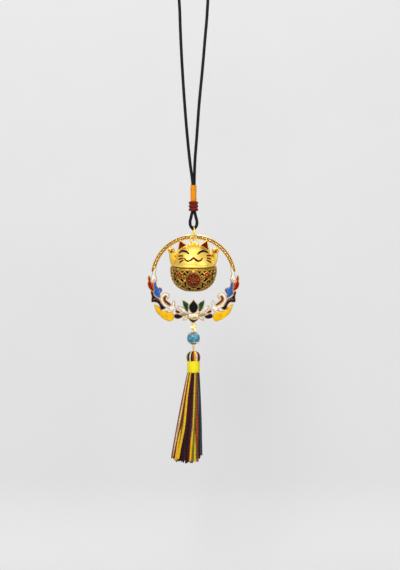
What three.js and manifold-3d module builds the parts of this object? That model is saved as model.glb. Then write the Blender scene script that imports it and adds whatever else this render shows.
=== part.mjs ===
// A lucky cat charm on a hanging cord, drawn with three.js in millimetres.
// Z is up, the front faces -Y, and the origin is the inside top of the cord's hanging loop.
import * as THREE from "three";
import { mergeVertices, toCreasedNormals } from "three/addons/utils/BufferGeometryUtils.js";
import Module from "manifold-3d";

const wasm = await Module();
wasm.setup();
const { degToRad } = THREE.MathUtils;

// Cord, sleeve and whipping
const CORD_DIAMETER = 2.0;
const LOOP_RADIUS = 9.2;
const SLEEVE_TOP = -135.5;
const SLEEVE_LENGTH = 10.6;
const SLEEVE_WALL = 0.3;
const STRAND_SIDE = 0.52;
const STRAND_DEPTH = 0.9;
const BORE_CLEARANCE = 0.24;
const WHIPPING_LENGTH = 6.5;
const WHIPPING_WALL = 1.45;
const WHIPPING_TURNS = 3;
const LOWER_LOOP_LENGTH = 11.6;
const LOWER_LOOP_WIDTH = 6.6;

// Jump ring
const RING_RADIUS = 4.6;
const RING_WIRE = 1.0;
const RING_YAW = degToRad(8);
const RING_SLIT = degToRad(3);

// Hoop, enamel and lower eye
const HOOP_RADIUS = 28.2;
const HOOP_WIDTH = 2.7;
const HOOP_DEPTH = 2.4;
const HOOP_END = degToRad(8);
const HOOP_EDGE = 0.25;
const PLATE_DEPTH = 2.0;
const PLATE_BORDER = 0.45;
const ENAMEL_DEPTH = 0.5;
const LOWER_EYE_RADIUS = 1.1;
const LOWER_EYE_WIRE = 0.7;
const LOWER_EYE_SINK = 0.1;

// Cat
const CAT_TILT = degToRad(8);
const EYE_BORE = 3.6;
const EYE_WALL = 0.6;
const EYE_DEPTH = 0.9;
const EYE_STAND = 3.1;
const NECK_BEAD_RADIUS = 1.0;
const HEAD_INSET = 0.8;
const HEAD_WALL = 1.1;
const LIP_INSET = 0.6;
const LIP_DEPTH = 1.2;
const EAR_DEPTH = 2.0;
const EAR_FORWARD = 0.5;
const ARM_RADIUS = 1.75;
const PAW_RADIUS = 2.2;
const PAW_OUT = 0.7;
const PAW_FORWARD = 3.1;
const PAW_HEIGHT = 10.2;
const INLAY_DEPTH = 0.4;
const FACE_LINE = 0.8;
const BODY_RADIUS = 15.2;
const BODY_DEPTH = 15.1;
const BODY_BULGE_DROP = 2.0;
const BODY_WALL = 1.1;
const RIM_TUCK = 0.3;
const BODY_FULLNESS = 2.4;
const PIERCING_RADIUS = 1.2;
const MEDALLION_RADIUS = 5.0;
const MEDALLION_DEPTH = 0.6;
const MEDALLION_DROP = degToRad(25);
const GEM_RADIUS = 0.8;
const BELL_RADIUS = 1.0;
const KNUCKLE_RADIUS = 1.1;
const KNUCKLE_LENGTH = 2.4;
const HINGE_PIN = 0.9;

// Drop, bead and tassel
const PIN_WIRE = 0.6;
const PIN_EYE_RADIUS = 1.15;
const PIN_FOOT_RADIUS = 0.8;
const PIN_NECK = 1.6;
const STAR_RADIUS = 2.3;
const STAR_DEPTH = 0.9;
const BEAD_RADIUS = 4.3;
const BEAD_HEIGHT = 7.6;
const CAP_RADIUS = 2.7;
const CAP_WALL = 0.5;
const TASSEL_THREAD = 0.7;
const TASSEL_EYE_RADIUS = 0.95;
const TASSEL_HEAD_RADIUS = 4.8;
const TASSEL_HEAD_HEIGHT = 6.2;
const BINDING_RADIUS = 4.2;
const BINDING_HEIGHT = 8.0;
const SKIRT_LENGTH = 60;
const SKIRT_TOP = 4.3;
const SKIRT_WIDTH = 10.4;
const SKIRT_DEPTH = 6.4;
const SKIRT_LEAN = -4.6;

// Clearances
const FIT = 0.3;
const SEAT = 0.05;
const LINK = 0.1;
const HINGE_PLAY = 0.15;

// Enamel cells of the wreath, drawn for the right half from the centre of a hoop of radius 28.2
const cellScale = HOOP_RADIUS / 28.2;
const pairedCells = {
  white_branch: ["white", [
    [[25.1, 7.3], [25.8, 5.3], [26.7, 3.2], [27.1, 1.4], [28.2, -2.5]],
    [[28.2, -2.5], [26.9, -1.7], [26.3, -3.3]],
    [[26.3, -3.3], [25.7, -0.9], [24.4, -2.4]],
    [[24.4, -2.4], [24.75, 0.1], [25.6, 2.4], [24.9, 4.7], [25.1, 7.3]],
  ]],
  red_flame: ["red", [
    [[29.3, 1.25], [29.8, -0.6], [29.5, -2.6], [30.0, -3.6]],
    [[30.0, -3.6], [29.6, -5.9], [28.4, -7.7], [26.2, -9.0]],
    [[26.2, -9.0], [26.5, -6.9], [26.7, -4.55], [27.3, -3.6], [28.6, -3.0], [28.6, -0.8], [29.3, 1.25]],
  ]],
  blue_cloud: ["blue", [
    [[25.1, -2.9], [26.0, -4.2], [26.0, -6.2], [25.6, -8.2], [26.1, -9.8], [25.6, -11.3], [24.2, -12.3],
      [22.4, -13.3]],
    [[22.4, -13.3], [22.1, -12.1], [22.2, -10.8], [21.3, -9.5], [20.9, -8.05], [22.0, -6.9], [23.6, -6.7],
      [24.5, -5.5], [24.7, -4.1], [25.1, -2.9]],
  ]],
  navy_bud: ["navy", [
    [[27.8, -8.8], [27.85, -10.5], [27.3, -12.3], [27.6, -15.1], [27.1, -16.1], [25.3, -16.1], [23.8, -16.5],
      [22.4, -18.0], [21.6, -20.5], [20.5, -21.2], [18.9, -20.5], [18.8, -19.7], [20.5, -18.4], [21.9, -16.1],
      [22.9, -14.2], [24.7, -13.2], [26.4, -11.7], [26.7, -9.9], [27.8, -8.8]],
  ]],
  white_scroll: ["white", [
    [[17.0, -14.1], [16.2, -12.7], [16.6, -11.1], [18.15, -10.3], [20.1, -10.75], [21.3, -12.8],
      [21.35, -15.3], [20.0, -17.9], [17.9, -19.6], [15.5, -20.5], [17.0, -22.1]],
    [[17.0, -22.1], [15.4, -21.6], [13.8, -22.5]],
    [[13.8, -22.5], [13.3, -21.1], [10.9, -20.9]],
    [[10.9, -20.9], [12.6, -19.1], [12.3, -17.2], [13.0, -15.4]],
    [[13.0, -15.4], [13.7, -17.2], [13.9, -18.6], [15.5, -19.3], [17.4, -18.5], [19.3, -16.7], [20.3, -14.65],
      [20.1, -13.1], [19.1, -11.8], [17.9, -11.7], [17.3, -12.6], [17.0, -14.1]],
  ]],
  red_scroll: ["red", [
    [[18.0, -12.5], [18.9, -12.4], [19.5, -13.3], [19.6, -14.6], [18.7, -16.1], [17.0, -17.6], [15.6, -18.4]],
    [[15.6, -18.4], [14.9, -17.9], [15.9, -16.9], [17.5, -15.7], [18.4, -14.6], [18.4, -13.7], [18.0, -12.5]],
  ]],
  yellow_cloud: ["yellow", [
    [[25.7, -18.1], [24.75, -21.05], [22.9, -24.0], [19.9, -26.7], [17.2, -28.0], [15.1, -28.6],
      [13.6, -27.6], [13.2, -25.6], [13.6, -23.9], [14.9, -23.3], [17.4, -23.0], [18.4, -22.1], [19.9, -22.5],
      [21.8, -21.75], [22.5, -20.1], [24.0, -18.9], [25.7, -18.1]],
  ]],
  red_leaf: ["red", [
    [[8.8, -23.2], [9.8, -22.3], [11.3, -21.7], [11.7, -22.5], [10.5, -23.4], [8.8, -23.2]],
  ]],
  navy_lobe: ["navy", [
    [[7.3, -25.7], [8.9, -24.7], [11.2, -24.1], [12.4, -24.7], [12.4, -26.2], [10.6, -27.0], [8.4, -26.7],
      [7.3, -25.7]],
  ]],
  lilac_petal: ["lilac", [
    [[3.6, -23.4], [5.2, -21.9], [6.7, -20.1], [8.0, -19.3], [10.2, -19.0]],
    [[10.2, -19.0], [9.1, -21.0], [7.2, -22.7], [5.2, -23.5], [3.6, -23.4]],
  ]],
  pale_leaf: ["pale", [
    [[3.6, -24.6], [6.0, -24.1], [8.0, -24.0]],
    [[8.0, -24.0], [7.4, -24.8], [5.5, -25.3], [3.6, -24.6]],
  ]],
  leaflet: ["lilac", [
    [[3.6, -25.7], [5.1, -26.0], [6.5, -27.2], [6.7, -28.2]],
    [[6.7, -28.2], [5.0, -27.7], [3.9, -26.9], [3.6, -25.7]],
  ]],
  green_petal: ["green", [
    [[6.8, -15.2], [6.0, -18.1], [4.55, -21.1], [3.5, -22.3]],
    [[3.5, -22.3], [3.3, -20.5], [3.7, -18.9], [4.7, -17.4], [6.8, -15.2]],
  ]],
};
const middleCells = {
  black_petal: ["black", [
    [[0, -15.05], [1.8, -17.2], [2.8, -19.0], [2.5, -21.0], [1.4, -22.8], [0, -23.3], [-1.4, -22.8],
      [-2.5, -21.0], [-2.8, -19.0], [-1.8, -17.2], [0, -15.05]],
  ]],
  white_knot: ["white", [
    [[-2.9, -23.8], [0, -23.95], [2.9, -23.8]],
    [[2.9, -23.8], [3.1, -25.2], [2.8, -26.3]],
    [[2.8, -26.3], [1.6, -26.2], [0, -25.8], [-1.6, -26.2], [-2.8, -26.3]],
    [[-2.8, -26.3], [-3.1, -25.2], [-2.9, -23.8]],
  ]],
  teal_drop: ["teal", [
    [[-1.8, -27.4], [-1.2, -26.8], [0, -26.4], [1.2, -26.8], [1.8, -27.4]],
    [[1.8, -27.4], [1.0, -28.0], [0, -28.2], [-1.0, -28.0], [-1.8, -27.4]],
  ]],
  navy_drop: ["navy", [
    [[-3.3, -26.9], [-2.3, -27.6], [-1.2, -28.4], [0, -28.6], [1.2, -28.4], [2.3, -27.6], [3.3, -26.9]],
    [[3.3, -26.9], [1.6, -28.7], [0, -29.6]],
    [[0, -29.6], [-1.6, -28.7], [-3.3, -26.9]],
  ]],
};

// Heights and places that follow from the sizes above
const cordRadius = CORD_DIAMETER / 2;
const sleeveBottom = SLEEVE_TOP - SLEEVE_LENGTH;
const sleeveMiddle = (SLEEVE_TOP + sleeveBottom) / 2;
const whippingBottom = sleeveBottom - WHIPPING_LENGTH;
const cordBend = whippingBottom - LOWER_LOOP_LENGTH;
const ringInside = RING_RADIUS - RING_WIRE / 2;
const ringHeight = cordBend + cordRadius + 1.5 * LINK - ringInside;
const hoopInside = HOOP_RADIUS - HOOP_WIDTH;
const hoopFront = HOOP_DEPTH / 2;
const hoopHeight = ringHeight - Math.sqrt(ringInside ** 2 - hoopFront ** 2) + 2 * LINK - hoopInside;
const eyeForward = -(hoopFront + 2.8 * FIT + EYE_DEPTH / 2);
const eyeFace = (eyeForward - EYE_DEPTH / 2) / Math.cos(RING_YAW);
const wireSlope = Math.asin(-eyeFace / RING_RADIUS);
const wireTop = ringHeight - RING_RADIUS * Math.cos(wireSlope) + RING_WIRE / 2 / Math.cos(wireSlope);
const eyeHeight = wireTop + FIT - EYE_BORE / 2;
const lipRadius = BODY_RADIUS - LIP_INSET;
const headRadius = lipRadius - HEAD_INSET;
const pawSide = headRadius + PAW_OUT;
const eyeReach = headRadius + EYE_STAND;
const catHeight = eyeHeight - eyeReach;
const catForward = eyeForward + headRadius * Math.sin(CAT_TILT);
const hingeBack = BODY_RADIUS + FIT + KNUCKLE_RADIUS;
const wreathFoot = cellScale * Math.min(...middleCells.navy_drop[1].flat().map(([, z]) => z));
const lowerEyeDrop = LOWER_EYE_RADIUS - LOWER_EYE_SINK - wreathFoot;
const lowerEyeHeight = hoopHeight - lowerEyeDrop;
const lowerEyeBar = lowerEyeHeight - LOWER_EYE_RADIUS;
const pinEyeInside = PIN_EYE_RADIUS - PIN_WIRE / 2;
const pinHeight = lowerEyeBar + LOWER_EYE_WIRE / 2 + LINK - pinEyeInside;
const capReach = BEAD_HEIGHT / 2 + SEAT + 2 * CAP_WALL;
const capTop = pinHeight - PIN_EYE_RADIUS - PIN_WIRE / 2 - PIN_NECK;
const starHeight = capTop + LINK + STAR_RADIUS * Math.cos(Math.PI / 5);
const beadHeight = capTop - capReach;
const pinFootHeight = beadHeight - capReach - LINK - PIN_FOOT_RADIUS - PIN_WIRE / 2;
const pinLength = pinHeight - pinFootHeight;
const pinFootBar = pinFootHeight - PIN_FOOT_RADIUS;
const tasselEyeInside = TASSEL_EYE_RADIUS - TASSEL_THREAD / 2;
const tasselEyeHeight = pinFootBar + PIN_WIRE / 2 + LINK - tasselEyeInside;
const tasselTop = tasselEyeHeight - TASSEL_EYE_RADIUS - TASSEL_THREAD / 2 - LINK;
const bindingTop = tasselTop - TASSEL_HEAD_HEIGHT - SEAT;
const skirtTop = bindingTop - BINDING_HEIGHT - SEAT;

// Finishes
function finish(color, roughness, metalness = 0) {
  return new THREE.MeshStandardMaterial({ color, roughness, metalness });
}
const gold = finish("#dcb54a", 0.3, 1);
const silver = finish("#c9c9cc", 0.3, 1);
const blackCord = finish("#111113", 0.8);
const orangeThread = finish("#e08a12", 0.8);
const redThread = finish("#96301a", 0.8);
const yellowThread = finish("#f2d32c", 0.8);
const mixedThread = finish("#8a6a36", 0.9);
const turquoise = finish("#50aec8", 0.35);
const darkEnamel = finish("#17100d", 0.3);
const enamel = {
  white: finish("#faf6ec", 0.25),
  red: finish("#a81410", 0.25),
  blue: finish("#2d6ec8", 0.25),
  navy: finish("#0d0f30", 0.25),
  yellow: finish("#f6c61a", 0.25),
  green: finish("#0a5038", 0.25),
  pale: finish("#87a070", 0.25),
  lilac: finish("#e0d6e0", 0.25),
  black: finish("#0c0c10", 0.25),
  teal: finish("#7abfaa", 0.25),
};

// Turns a closed geometry into a solid that can be added, cut and crossed.
function solid(geometry) {
  const bare = geometry.clone();
  bare.deleteAttribute("normal");
  bare.deleteAttribute("uv");
  const merged = mergeVertices(bare, 1e-4);
  const corners = Array.from(merged.index.array);
  const kept = [];
  for (let i = 0; i < corners.length; i += 3) {
    const [a, b, c] = corners.slice(i, i + 3);
    if (a !== b && b !== c && c !== a) kept.push([a, b, c]);
  }
  const vertProperties = new Float32Array(merged.attributes.position.array);
  const build = (faces) =>
    new wasm.Manifold(new wasm.Mesh({ numProp: 3, vertProperties, triVerts: new Uint32Array(faces.flat()) }));
  const body = build(kept);
  return body.volume() < 0 ? build(kept.map(([a, b, c]) => [a, c, b])) : body;
}

function surface(body) {
  const mesh = body.getMesh();
  const geometry = new THREE.BufferGeometry();
  geometry.setAttribute("position", new THREE.BufferAttribute(mesh.vertProperties, 3));
  geometry.setIndex(new THREE.BufferAttribute(mesh.triVerts, 1));
  return toCreasedNormals(geometry, degToRad(35));
}

function join(bodies) {
  return bodies.reduce((sum, next) => sum.add(next));
}

function circle(radius, sides) {
  const points = [];
  for (let i = 0; i < sides; i++) {
    const turn = (i / sides) * 2 * Math.PI;
    points.push(new THREE.Vector2(radius * Math.cos(turn), radius * Math.sin(turn)));
  }
  return new THREE.Shape(points);
}

function tube(points, radius, steps, sides = 8) {
  const path = new THREE.CatmullRomCurve3(points.map((p) => new THREE.Vector3(...p)), false, "centripetal");
  return new THREE.ExtrudeGeometry(circle(radius, sides), { steps, extrudePath: path, bevelEnabled: false });
}

// A turned shape from [radius, height] points, standing along Z.
function turned(profile, sides) {
  const points = profile.map(([r, h]) => new THREE.Vector2(r, h));
  return new THREE.LatheGeometry(points, sides).rotateX(Math.PI / 2);
}

function rod(radius, length, sides, axis) {
  const geometry = new THREE.CylinderGeometry(radius, radius, length, sides);
  if (axis === "x") geometry.rotateZ(Math.PI / 2);
  if (axis === "z") geometry.rotateX(Math.PI / 2);
  return geometry;
}

// A cell's outline from runs of points: each run is smooth, and runs meet in sharp tips.
function outline(runs, side = 1) {
  const shape = new THREE.Shape();
  const spot = ([x, z]) => new THREE.Vector2(side * cellScale * x, cellScale * z);
  const { x, y } = spot(runs[0][0]);
  shape.moveTo(x, y);
  for (const run of runs) {
    shape.splineThru(run.slice(1).map(spot));
  }
  return shape;
}

// Extrudes an outline drawn in X and Z towards the front, from the face at y = back.
function plate(shape, back, depth, options = {}) {
  const settings = { depth, bevelEnabled: false, curveSegments: 2, ...options };
  return new THREE.ExtrudeGeometry(shape, settings).rotateX(Math.PI / 2).translate(0, back, 0);
}

const group = new THREE.Group();
function part(name, geometry, material, place = [0, 0, 0]) {
  const mesh = new THREE.Mesh(surface(solid(geometry)), material);
  mesh.name = name;
  mesh.position.set(...place);
  group.add(mesh);
}

// Hanging cord
const strand = [
  [-2.3, -0.4, -120.5], [-4.1, -0.2, -103], [-5.9, 0, -81], [-7.3, 0, -60], [-8.4, 0, -39], [-9, 0, -22],
];
const otherStrand = [
  [9, 0, -22], [7.6, 0, -39], [5.8, 0, -60], [3.8, 0, -81], [2.2, 0.2, -103], [0.9, 0.4, -120.5],
];
const loop = [180, 135, 90, 45, 0].map((angle) => {
  const turn = degToRad(angle);
  return [LOOP_RADIUS * Math.cos(turn), 0, cordRadius - LOOP_RADIUS + LOOP_RADIUS * Math.sin(turn)];
});
const upperRoute = [
  [-STRAND_SIDE, -STRAND_DEPTH, sleeveMiddle + FIT / 2],
  [-STRAND_SIDE, -STRAND_DEPTH, SLEEVE_TOP + 1],
  ...strand,
  ...loop,
  ...otherStrand,
  [STRAND_SIDE, STRAND_DEPTH, SLEEVE_TOP + 1],
  [STRAND_SIDE, STRAND_DEPTH, sleeveMiddle + FIT / 2],
];
part("upper_cord", tube(upperRoute, cordRadius, 64), blackCord);

const loopSide = LOWER_LOOP_WIDTH / 2 - cordRadius;
const lowerSide = [
  [-STRAND_SIDE, -STRAND_DEPTH, sleeveMiddle - FIT / 2],
  [-STRAND_SIDE, -STRAND_DEPTH, sleeveBottom],
  [-STRAND_SIDE, -STRAND_DEPTH, whippingBottom + 1],
  [-0.62 * loopSide, -0.5, whippingBottom - 0.28 * LOWER_LOOP_LENGTH],
  [-loopSide, -0.1, whippingBottom - 0.64 * LOWER_LOOP_LENGTH],
  [-0.74 * loopSide, 0, cordBend + 0.13 * LOWER_LOOP_LENGTH],
];
const lowerRoute = [...lowerSide, [0, 0, cordBend], ...lowerSide.map(([x, y, z]) => [-x, -y, z]).reverse()];
part("lower_cord", tube(lowerRoute, cordRadius, 40), blackCord);

const boreSide = STRAND_SIDE + cordRadius + BORE_CLEARANCE;
const boreDepth = STRAND_DEPTH + cordRadius + 2 * BORE_CLEARANCE;
const sleeveShape = new THREE.Shape();
sleeveShape.absellipse(0, 0, boreSide + SLEEVE_WALL, boreDepth + SLEEVE_WALL, 0, 2 * Math.PI);
sleeveShape.holes.push(new THREE.Path().absellipse(0, 0, boreSide, boreDepth, 0, 2 * Math.PI));
const sleeveSettings = { depth: SLEEVE_LENGTH, bevelEnabled: false, curveSegments: 12 };
const sleeveBody = new THREE.ExtrudeGeometry(sleeveShape, sleeveSettings);
part("cord_sleeve", sleeveBody, orangeThread, [0, 0, sleeveBottom]);

const whippingInside = boreSide + SEAT;
const turnHeight = (WHIPPING_LENGTH - SEAT) / WHIPPING_TURNS;
const whippingProfile = [[whippingInside, 0]];
for (let i = 0; i < WHIPPING_TURNS; i++) {
  for (const [rise, swell] of [[0, 0.55], [0.3, 1], [0.7, 1]]) {
    whippingProfile.push([whippingInside + swell * WHIPPING_WALL, (i + rise) * turnHeight]);
  }
}
whippingProfile.push([whippingInside + 0.55 * WHIPPING_WALL, WHIPPING_TURNS * turnHeight]);
whippingProfile.push([whippingInside, WHIPPING_TURNS * turnHeight], [whippingInside, 0]);
const whippingBody = turned(whippingProfile, 20);
const windings = whippingBody.attributes.position;
for (let i = 0; i < windings.count; i++) {
  const reach = Math.hypot(windings.getX(i), windings.getY(i));
  windings.setY(i, (windings.getY(i) * (reach + boreDepth - boreSide)) / reach);
}
part("red_whipping", whippingBody, redThread, [0, 0, whippingBottom]);

// Jump ring, a turn of wire with a small slit, turned a little about the vertical
const ringRoute = [];
for (let i = 0; i <= 36; i++) {
  const turn = Math.PI / 4 + RING_SLIT / 2 + (i / 36) * (2 * Math.PI - RING_SLIT);
  ringRoute.push([0, -RING_RADIUS * Math.cos(turn), RING_RADIUS * Math.sin(turn)]);
}
part("jump_ring", tube(ringRoute, RING_WIRE / 2, 36).rotateZ(RING_YAW), gold, [0, 0, ringHeight]);

// Outlines of the enamel cells
const cells = Object.entries(middleCells).map(([name, [color, runs]]) => [name, color, outline(runs)]);
for (const [name, [color, runs]] of Object.entries(pairedCells)) {
  cells.push([`${name}_left`, color, outline(runs, -1)]);
  cells.push([`${name}_right`, color, outline(runs)]);
}

// Hoop: the band over the top, a gold plate under every cell and the eye at the foot
const bandShape = new THREE.Shape();
bandShape.absarc(0, 0, HOOP_RADIUS, HOOP_END, Math.PI - HOOP_END);
bandShape.absarc(0, 0, hoopInside, Math.PI - HOOP_END, HOOP_END, true);
const band = plate(bandShape, hoopFront - HOOP_EDGE, HOOP_DEPTH - 2 * HOOP_EDGE, {
  bevelEnabled: true,
  bevelSize: HOOP_EDGE,
  bevelOffset: -HOOP_EDGE,
  bevelThickness: HOOP_EDGE,
  bevelSegments: 1,
  curveSegments: 22,
});
const plates = cells.map(([, , shape]) =>
  plate(shape, PLATE_DEPTH - hoopFront, PLATE_DEPTH, {
    bevelEnabled: true,
    bevelSize: cellScale * PLATE_BORDER,
    bevelThickness: 0,
    bevelSegments: 1,
    curveSegments: 1,
  }),
);
const lowerEye = new THREE.TorusGeometry(LOWER_EYE_RADIUS, LOWER_EYE_WIRE / 2, 8, 20)
  .rotateX(Math.PI / 2)
  .translate(0, 0, -lowerEyeDrop);
const hoopBody = join([band, ...plates, lowerEye].map(solid));
part("hoop_frame", surface(hoopBody), gold, [0, 0, hoopHeight]);
for (const [name, color, shape] of cells) {
  part(name, plate(shape, -hoopFront - SEAT, ENAMEL_DEPTH), enamel[color], [0, 0, hoopHeight]);
}

// Cat's head: a hollow dome with a lip, ears, arms, the hanging eye and a hinge knuckle
const catPlace = [0, catForward, catHeight];
function tilted(geometry) {
  return geometry.rotateX(CAT_TILT);
}
const domeArc = (radius, low, steps) => {
  const start = Math.asin(low / radius);
  const points = [];
  for (let i = 0; i <= steps; i++) {
    const turn = start + (i / steps) * (Math.PI / 2 - start);
    points.push([i === steps ? 0 : radius * Math.cos(turn), radius * Math.sin(turn)]);
  }
  return points;
};
const domeProfile = [[0, 0], [lipRadius, 0], [lipRadius, LIP_DEPTH], ...domeArc(headRadius, LIP_DEPTH, 7)];
const dome = solid(turned(domeProfile, 28));
const hollowRadius = headRadius - HEAD_WALL;
const hollowProfile = [[0, -LIP_DEPTH], [hollowRadius, -LIP_DEPTH], ...domeArc(hollowRadius, 0, 6)];
const hollow = solid(turned(hollowProfile, 24));
// Ears and face are drawn for a head of radius 13.8
const faceScale = headRadius / 13.8;
const drawn = (points, side = 1) => points.map(([x, z]) => [side * faceScale * x, faceScale * z]);
const drawnShape = (points, side) =>
  new THREE.Shape(drawn(points, side).map((point) => new THREE.Vector2(...point)));
const earOutline = [[9.0, 17.4], [4.1, 13.8], [3.4, 11.6], [8.6, 8.6], [11.1, 8.6], [10.6, 11.0]];
const inlayOutline = [[8.6, 15.9], [5.6, 13.9], [9.1, 11.7]];
const headExtras = [];
for (const side of [-1, 1]) {
  headExtras.push(plate(drawnShape(earOutline, side), EAR_DEPTH / 2 - EAR_FORWARD, EAR_DEPTH));
  const armRoute = [
    [headRadius - HEAD_WALL / 2, -0.8 * PAW_FORWARD, 0.3 * ARM_RADIUS],
    [0.98 * pawSide, -0.94 * PAW_FORWARD, 0.49 * PAW_HEIGHT],
    [pawSide, -PAW_FORWARD, PAW_HEIGHT - 0.36 * PAW_RADIUS],
  ];
  headExtras.push(tube(armRoute.map(([x, y, z]) => [side * x, y, z]), ARM_RADIUS, 4));
  const paw = new THREE.SphereGeometry(PAW_RADIUS, 10, 7);
  headExtras.push(paw.translate(side * pawSide, -PAW_FORWARD, PAW_HEIGHT));
}
const knuckle = rod(KNUCKLE_RADIUS, KNUCKLE_LENGTH, 16, "x").translate(0, hingeBack, 0);
const knuckleArm = new THREE.BoxGeometry(KNUCKLE_LENGTH, hingeBack - headRadius, LIP_DEPTH - SEAT)
  .translate(0, (hingeBack + headRadius) / 2, (LIP_DEPTH + SEAT) / 2);
const hingeBore = rod(HINGE_PIN / 2 + HINGE_PLAY, 4 * KNUCKLE_LENGTH, 12, "x").translate(0, hingeBack, 0);
const headParts = join([dome, ...[...headExtras, knuckle, knuckleArm].map(solid)]);
const headCut = headParts.subtract(hollow).subtract(solid(hingeBore));
const headTilted = solid(tilted(surface(headCut)));
const eyeOutside = EYE_BORE / 2 + EYE_WALL;
const eyeShape = circle(eyeOutside, 24);
eyeShape.holes.push(circle(EYE_BORE / 2, 20));
const eyePlate = plate(eyeShape, EYE_DEPTH / 2, EYE_DEPTH).translate(0, 0, eyeReach);
const domeTop = headRadius * Math.cos(CAT_TILT);
const neckHeight = eyeReach - EYE_BORE / 2 - domeTop;
const neck = new THREE.BoxGeometry(EYE_BORE, EYE_DEPTH, neckHeight)
  .translate(0, 0, domeTop + neckHeight / 2 - HEAD_WALL / 2);
const lugPlace = eyeForward - catForward;
const neckBeads = [-1, 1].map((side) =>
  new THREE.SphereGeometry(NECK_BEAD_RADIUS, 10, 8)
    .translate(side * EYE_BORE * 0.7, 0, domeTop + 0.2 * NECK_BEAD_RADIUS),
);
const lug = join([eyePlate, neck, ...neckBeads].map((geometry) => solid(geometry.translate(0, lugPlace, 0))));
part("cat_head", surface(headTilted.add(lug)), gold, catPlace);
const hingePin = rod(HINGE_PIN / 2, 3.4 * KNUCKLE_LENGTH, 12, "x").translate(0, hingeBack, 0);
part("hinge_pin", tilted(hingePin), gold, catPlace);

for (const [label, side] of [["left", -1], ["right", 1]]) {
  const front = -EAR_DEPTH / 2 - EAR_FORWARD - SEAT;
  const inlay = plate(drawnShape(inlayOutline, side), front, INLAY_DEPTH);
  part(`ear_inlay_${label}`, tilted(inlay), enamel.red, catPlace);
}

// Face lines lie on the dome, given as [across, height]
function faceLine(points) {
  const reach = headRadius + FACE_LINE / 2 + SEAT;
  const route = points.map(([x, z]) => [x, -Math.sqrt(reach ** 2 - x ** 2 - z ** 2), z]);
  return tilted(tube(route, FACE_LINE / 2, 2 * points.length, 6));
}
const eyeLine = [[2.7, 8.6], [4.2, 9.8], [6.3, 10.3], [8.2, 9.7], [9.5, 8.7]];
part("eye_left", faceLine(drawn(eyeLine, -1)), darkEnamel, catPlace);
part("eye_right", faceLine(drawn(eyeLine)), darkEnamel, catPlace);
const mouthHalf = [[5.9, 6.3], [4.7, 5.1], [3.2, 4.8], [1.4, 5.6]];
const mouthLine = [...drawn(mouthHalf, -1), ...drawn([[0, 6.9]]), ...drawn(mouthHalf).reverse()];
part("mouth", faceLine(mouthLine), enamel.red, catPlace);

// Cat's body: an openwork bowl that opens down about the hinge behind the lip
function bowlArc(grow, steps) {
  const points = [];
  const top = -FIT;
  for (let i = 0; i <= steps; i++) {
    const turn = (i / steps) * (Math.PI / 2);
    const deep = Math.sin(turn) ** (2 / BODY_FULLNESS);
    const wide = i === steps ? 0 : Math.cos(turn) ** (2 / BODY_FULLNESS);
    points.push([(BODY_RADIUS + grow) * wide, -BODY_BULGE_DROP - (BODY_DEPTH + grow) * deep]);
  }
  return [[lipRadius - RIM_TUCK + grow, top], ...points];
}
const bowl = solid(turned([...bowlArc(0, 7), ...bowlArc(-BODY_WALL, 6).reverse(), bowlArc(0, 7)[0]], 24));
const medallionWay = new THREE.CylinderGeometry(MEDALLION_RADIUS, MEDALLION_RADIUS, BODY_RADIUS, 24)
  .translate(0, -BODY_RADIUS, 0)
  .rotateX(MEDALLION_DROP)
  .translate(0, 0, -BODY_BULGE_DROP);
const outerSkin = solid(turned([[0, -FIT], ...bowlArc(SEAT + MEDALLION_DEPTH, 7)], 24));
const innerSkin = solid(turned([[0, -FIT], ...bowlArc(SEAT, 7)], 24));
const medallion = outerSkin.subtract(innerSkin).intersect(solid(medallionWay));
part("belly_medallion", tilted(surface(medallion)), enamel.red, catPlace);

const piercings = [];
const rows = [[14, 14], [35, 12], [56, 8]];
for (const [row, [drop, count]] of rows.entries()) {
  for (let i = 0; i < count; i++) {
    const turn = ((i + (row % 2) / 2) / count) * 2 * Math.PI;
    const level = degToRad(drop);
    const way = new THREE.Vector3(
      Math.sin(turn) * Math.cos(level), -Math.cos(turn) * Math.cos(level), -Math.sin(level));
    const toMedallion = new THREE.Vector3(0, -Math.cos(MEDALLION_DROP), -Math.sin(MEDALLION_DROP));
    const nearMedallion = way.angleTo(toMedallion) * BODY_RADIUS < MEDALLION_RADIUS + 2 * PIERCING_RADIUS;
    const nearHinge = drop < 20 && way.y > 0.9;
    if (!nearMedallion && !nearHinge) {
      const hole = new THREE.CylinderGeometry(PIERCING_RADIUS, PIERCING_RADIUS, BODY_RADIUS, 6)
        .translate(0, BODY_RADIUS, 0)
        .applyQuaternion(new THREE.Quaternion().setFromUnitVectors(new THREE.Vector3(0, 1, 0), way))
        .translate(0, 0, -BODY_BULGE_DROP);
      piercings.push(solid(hole));
    }
  }
}
const bodyKnuckles = [];
for (const side of [-1, 1]) {
  const across = side * (KNUCKLE_LENGTH + FIT);
  bodyKnuckles.push(rod(KNUCKLE_RADIUS, KNUCKLE_LENGTH, 16, "x").translate(across, hingeBack, 0));
  const armStart = BODY_RADIUS - BODY_WALL / 2 - FIT;
  const armBlock = new THREE.BoxGeometry(KNUCKLE_LENGTH, hingeBack - armStart, 2 * KNUCKLE_RADIUS)
    .translate(across, (hingeBack + armStart) / 2, -KNUCKLE_RADIUS - FIT);
  bodyKnuckles.push(armBlock);
}
const bodyWhole = join([bowl, ...bodyKnuckles.map(solid)]);
const bodyShell = bodyWhole.subtract(solid(hingeBore)).subtract(join(piercings));
part("cat_body_shell", tilted(surface(bodyShell)), gold, catPlace);

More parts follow.
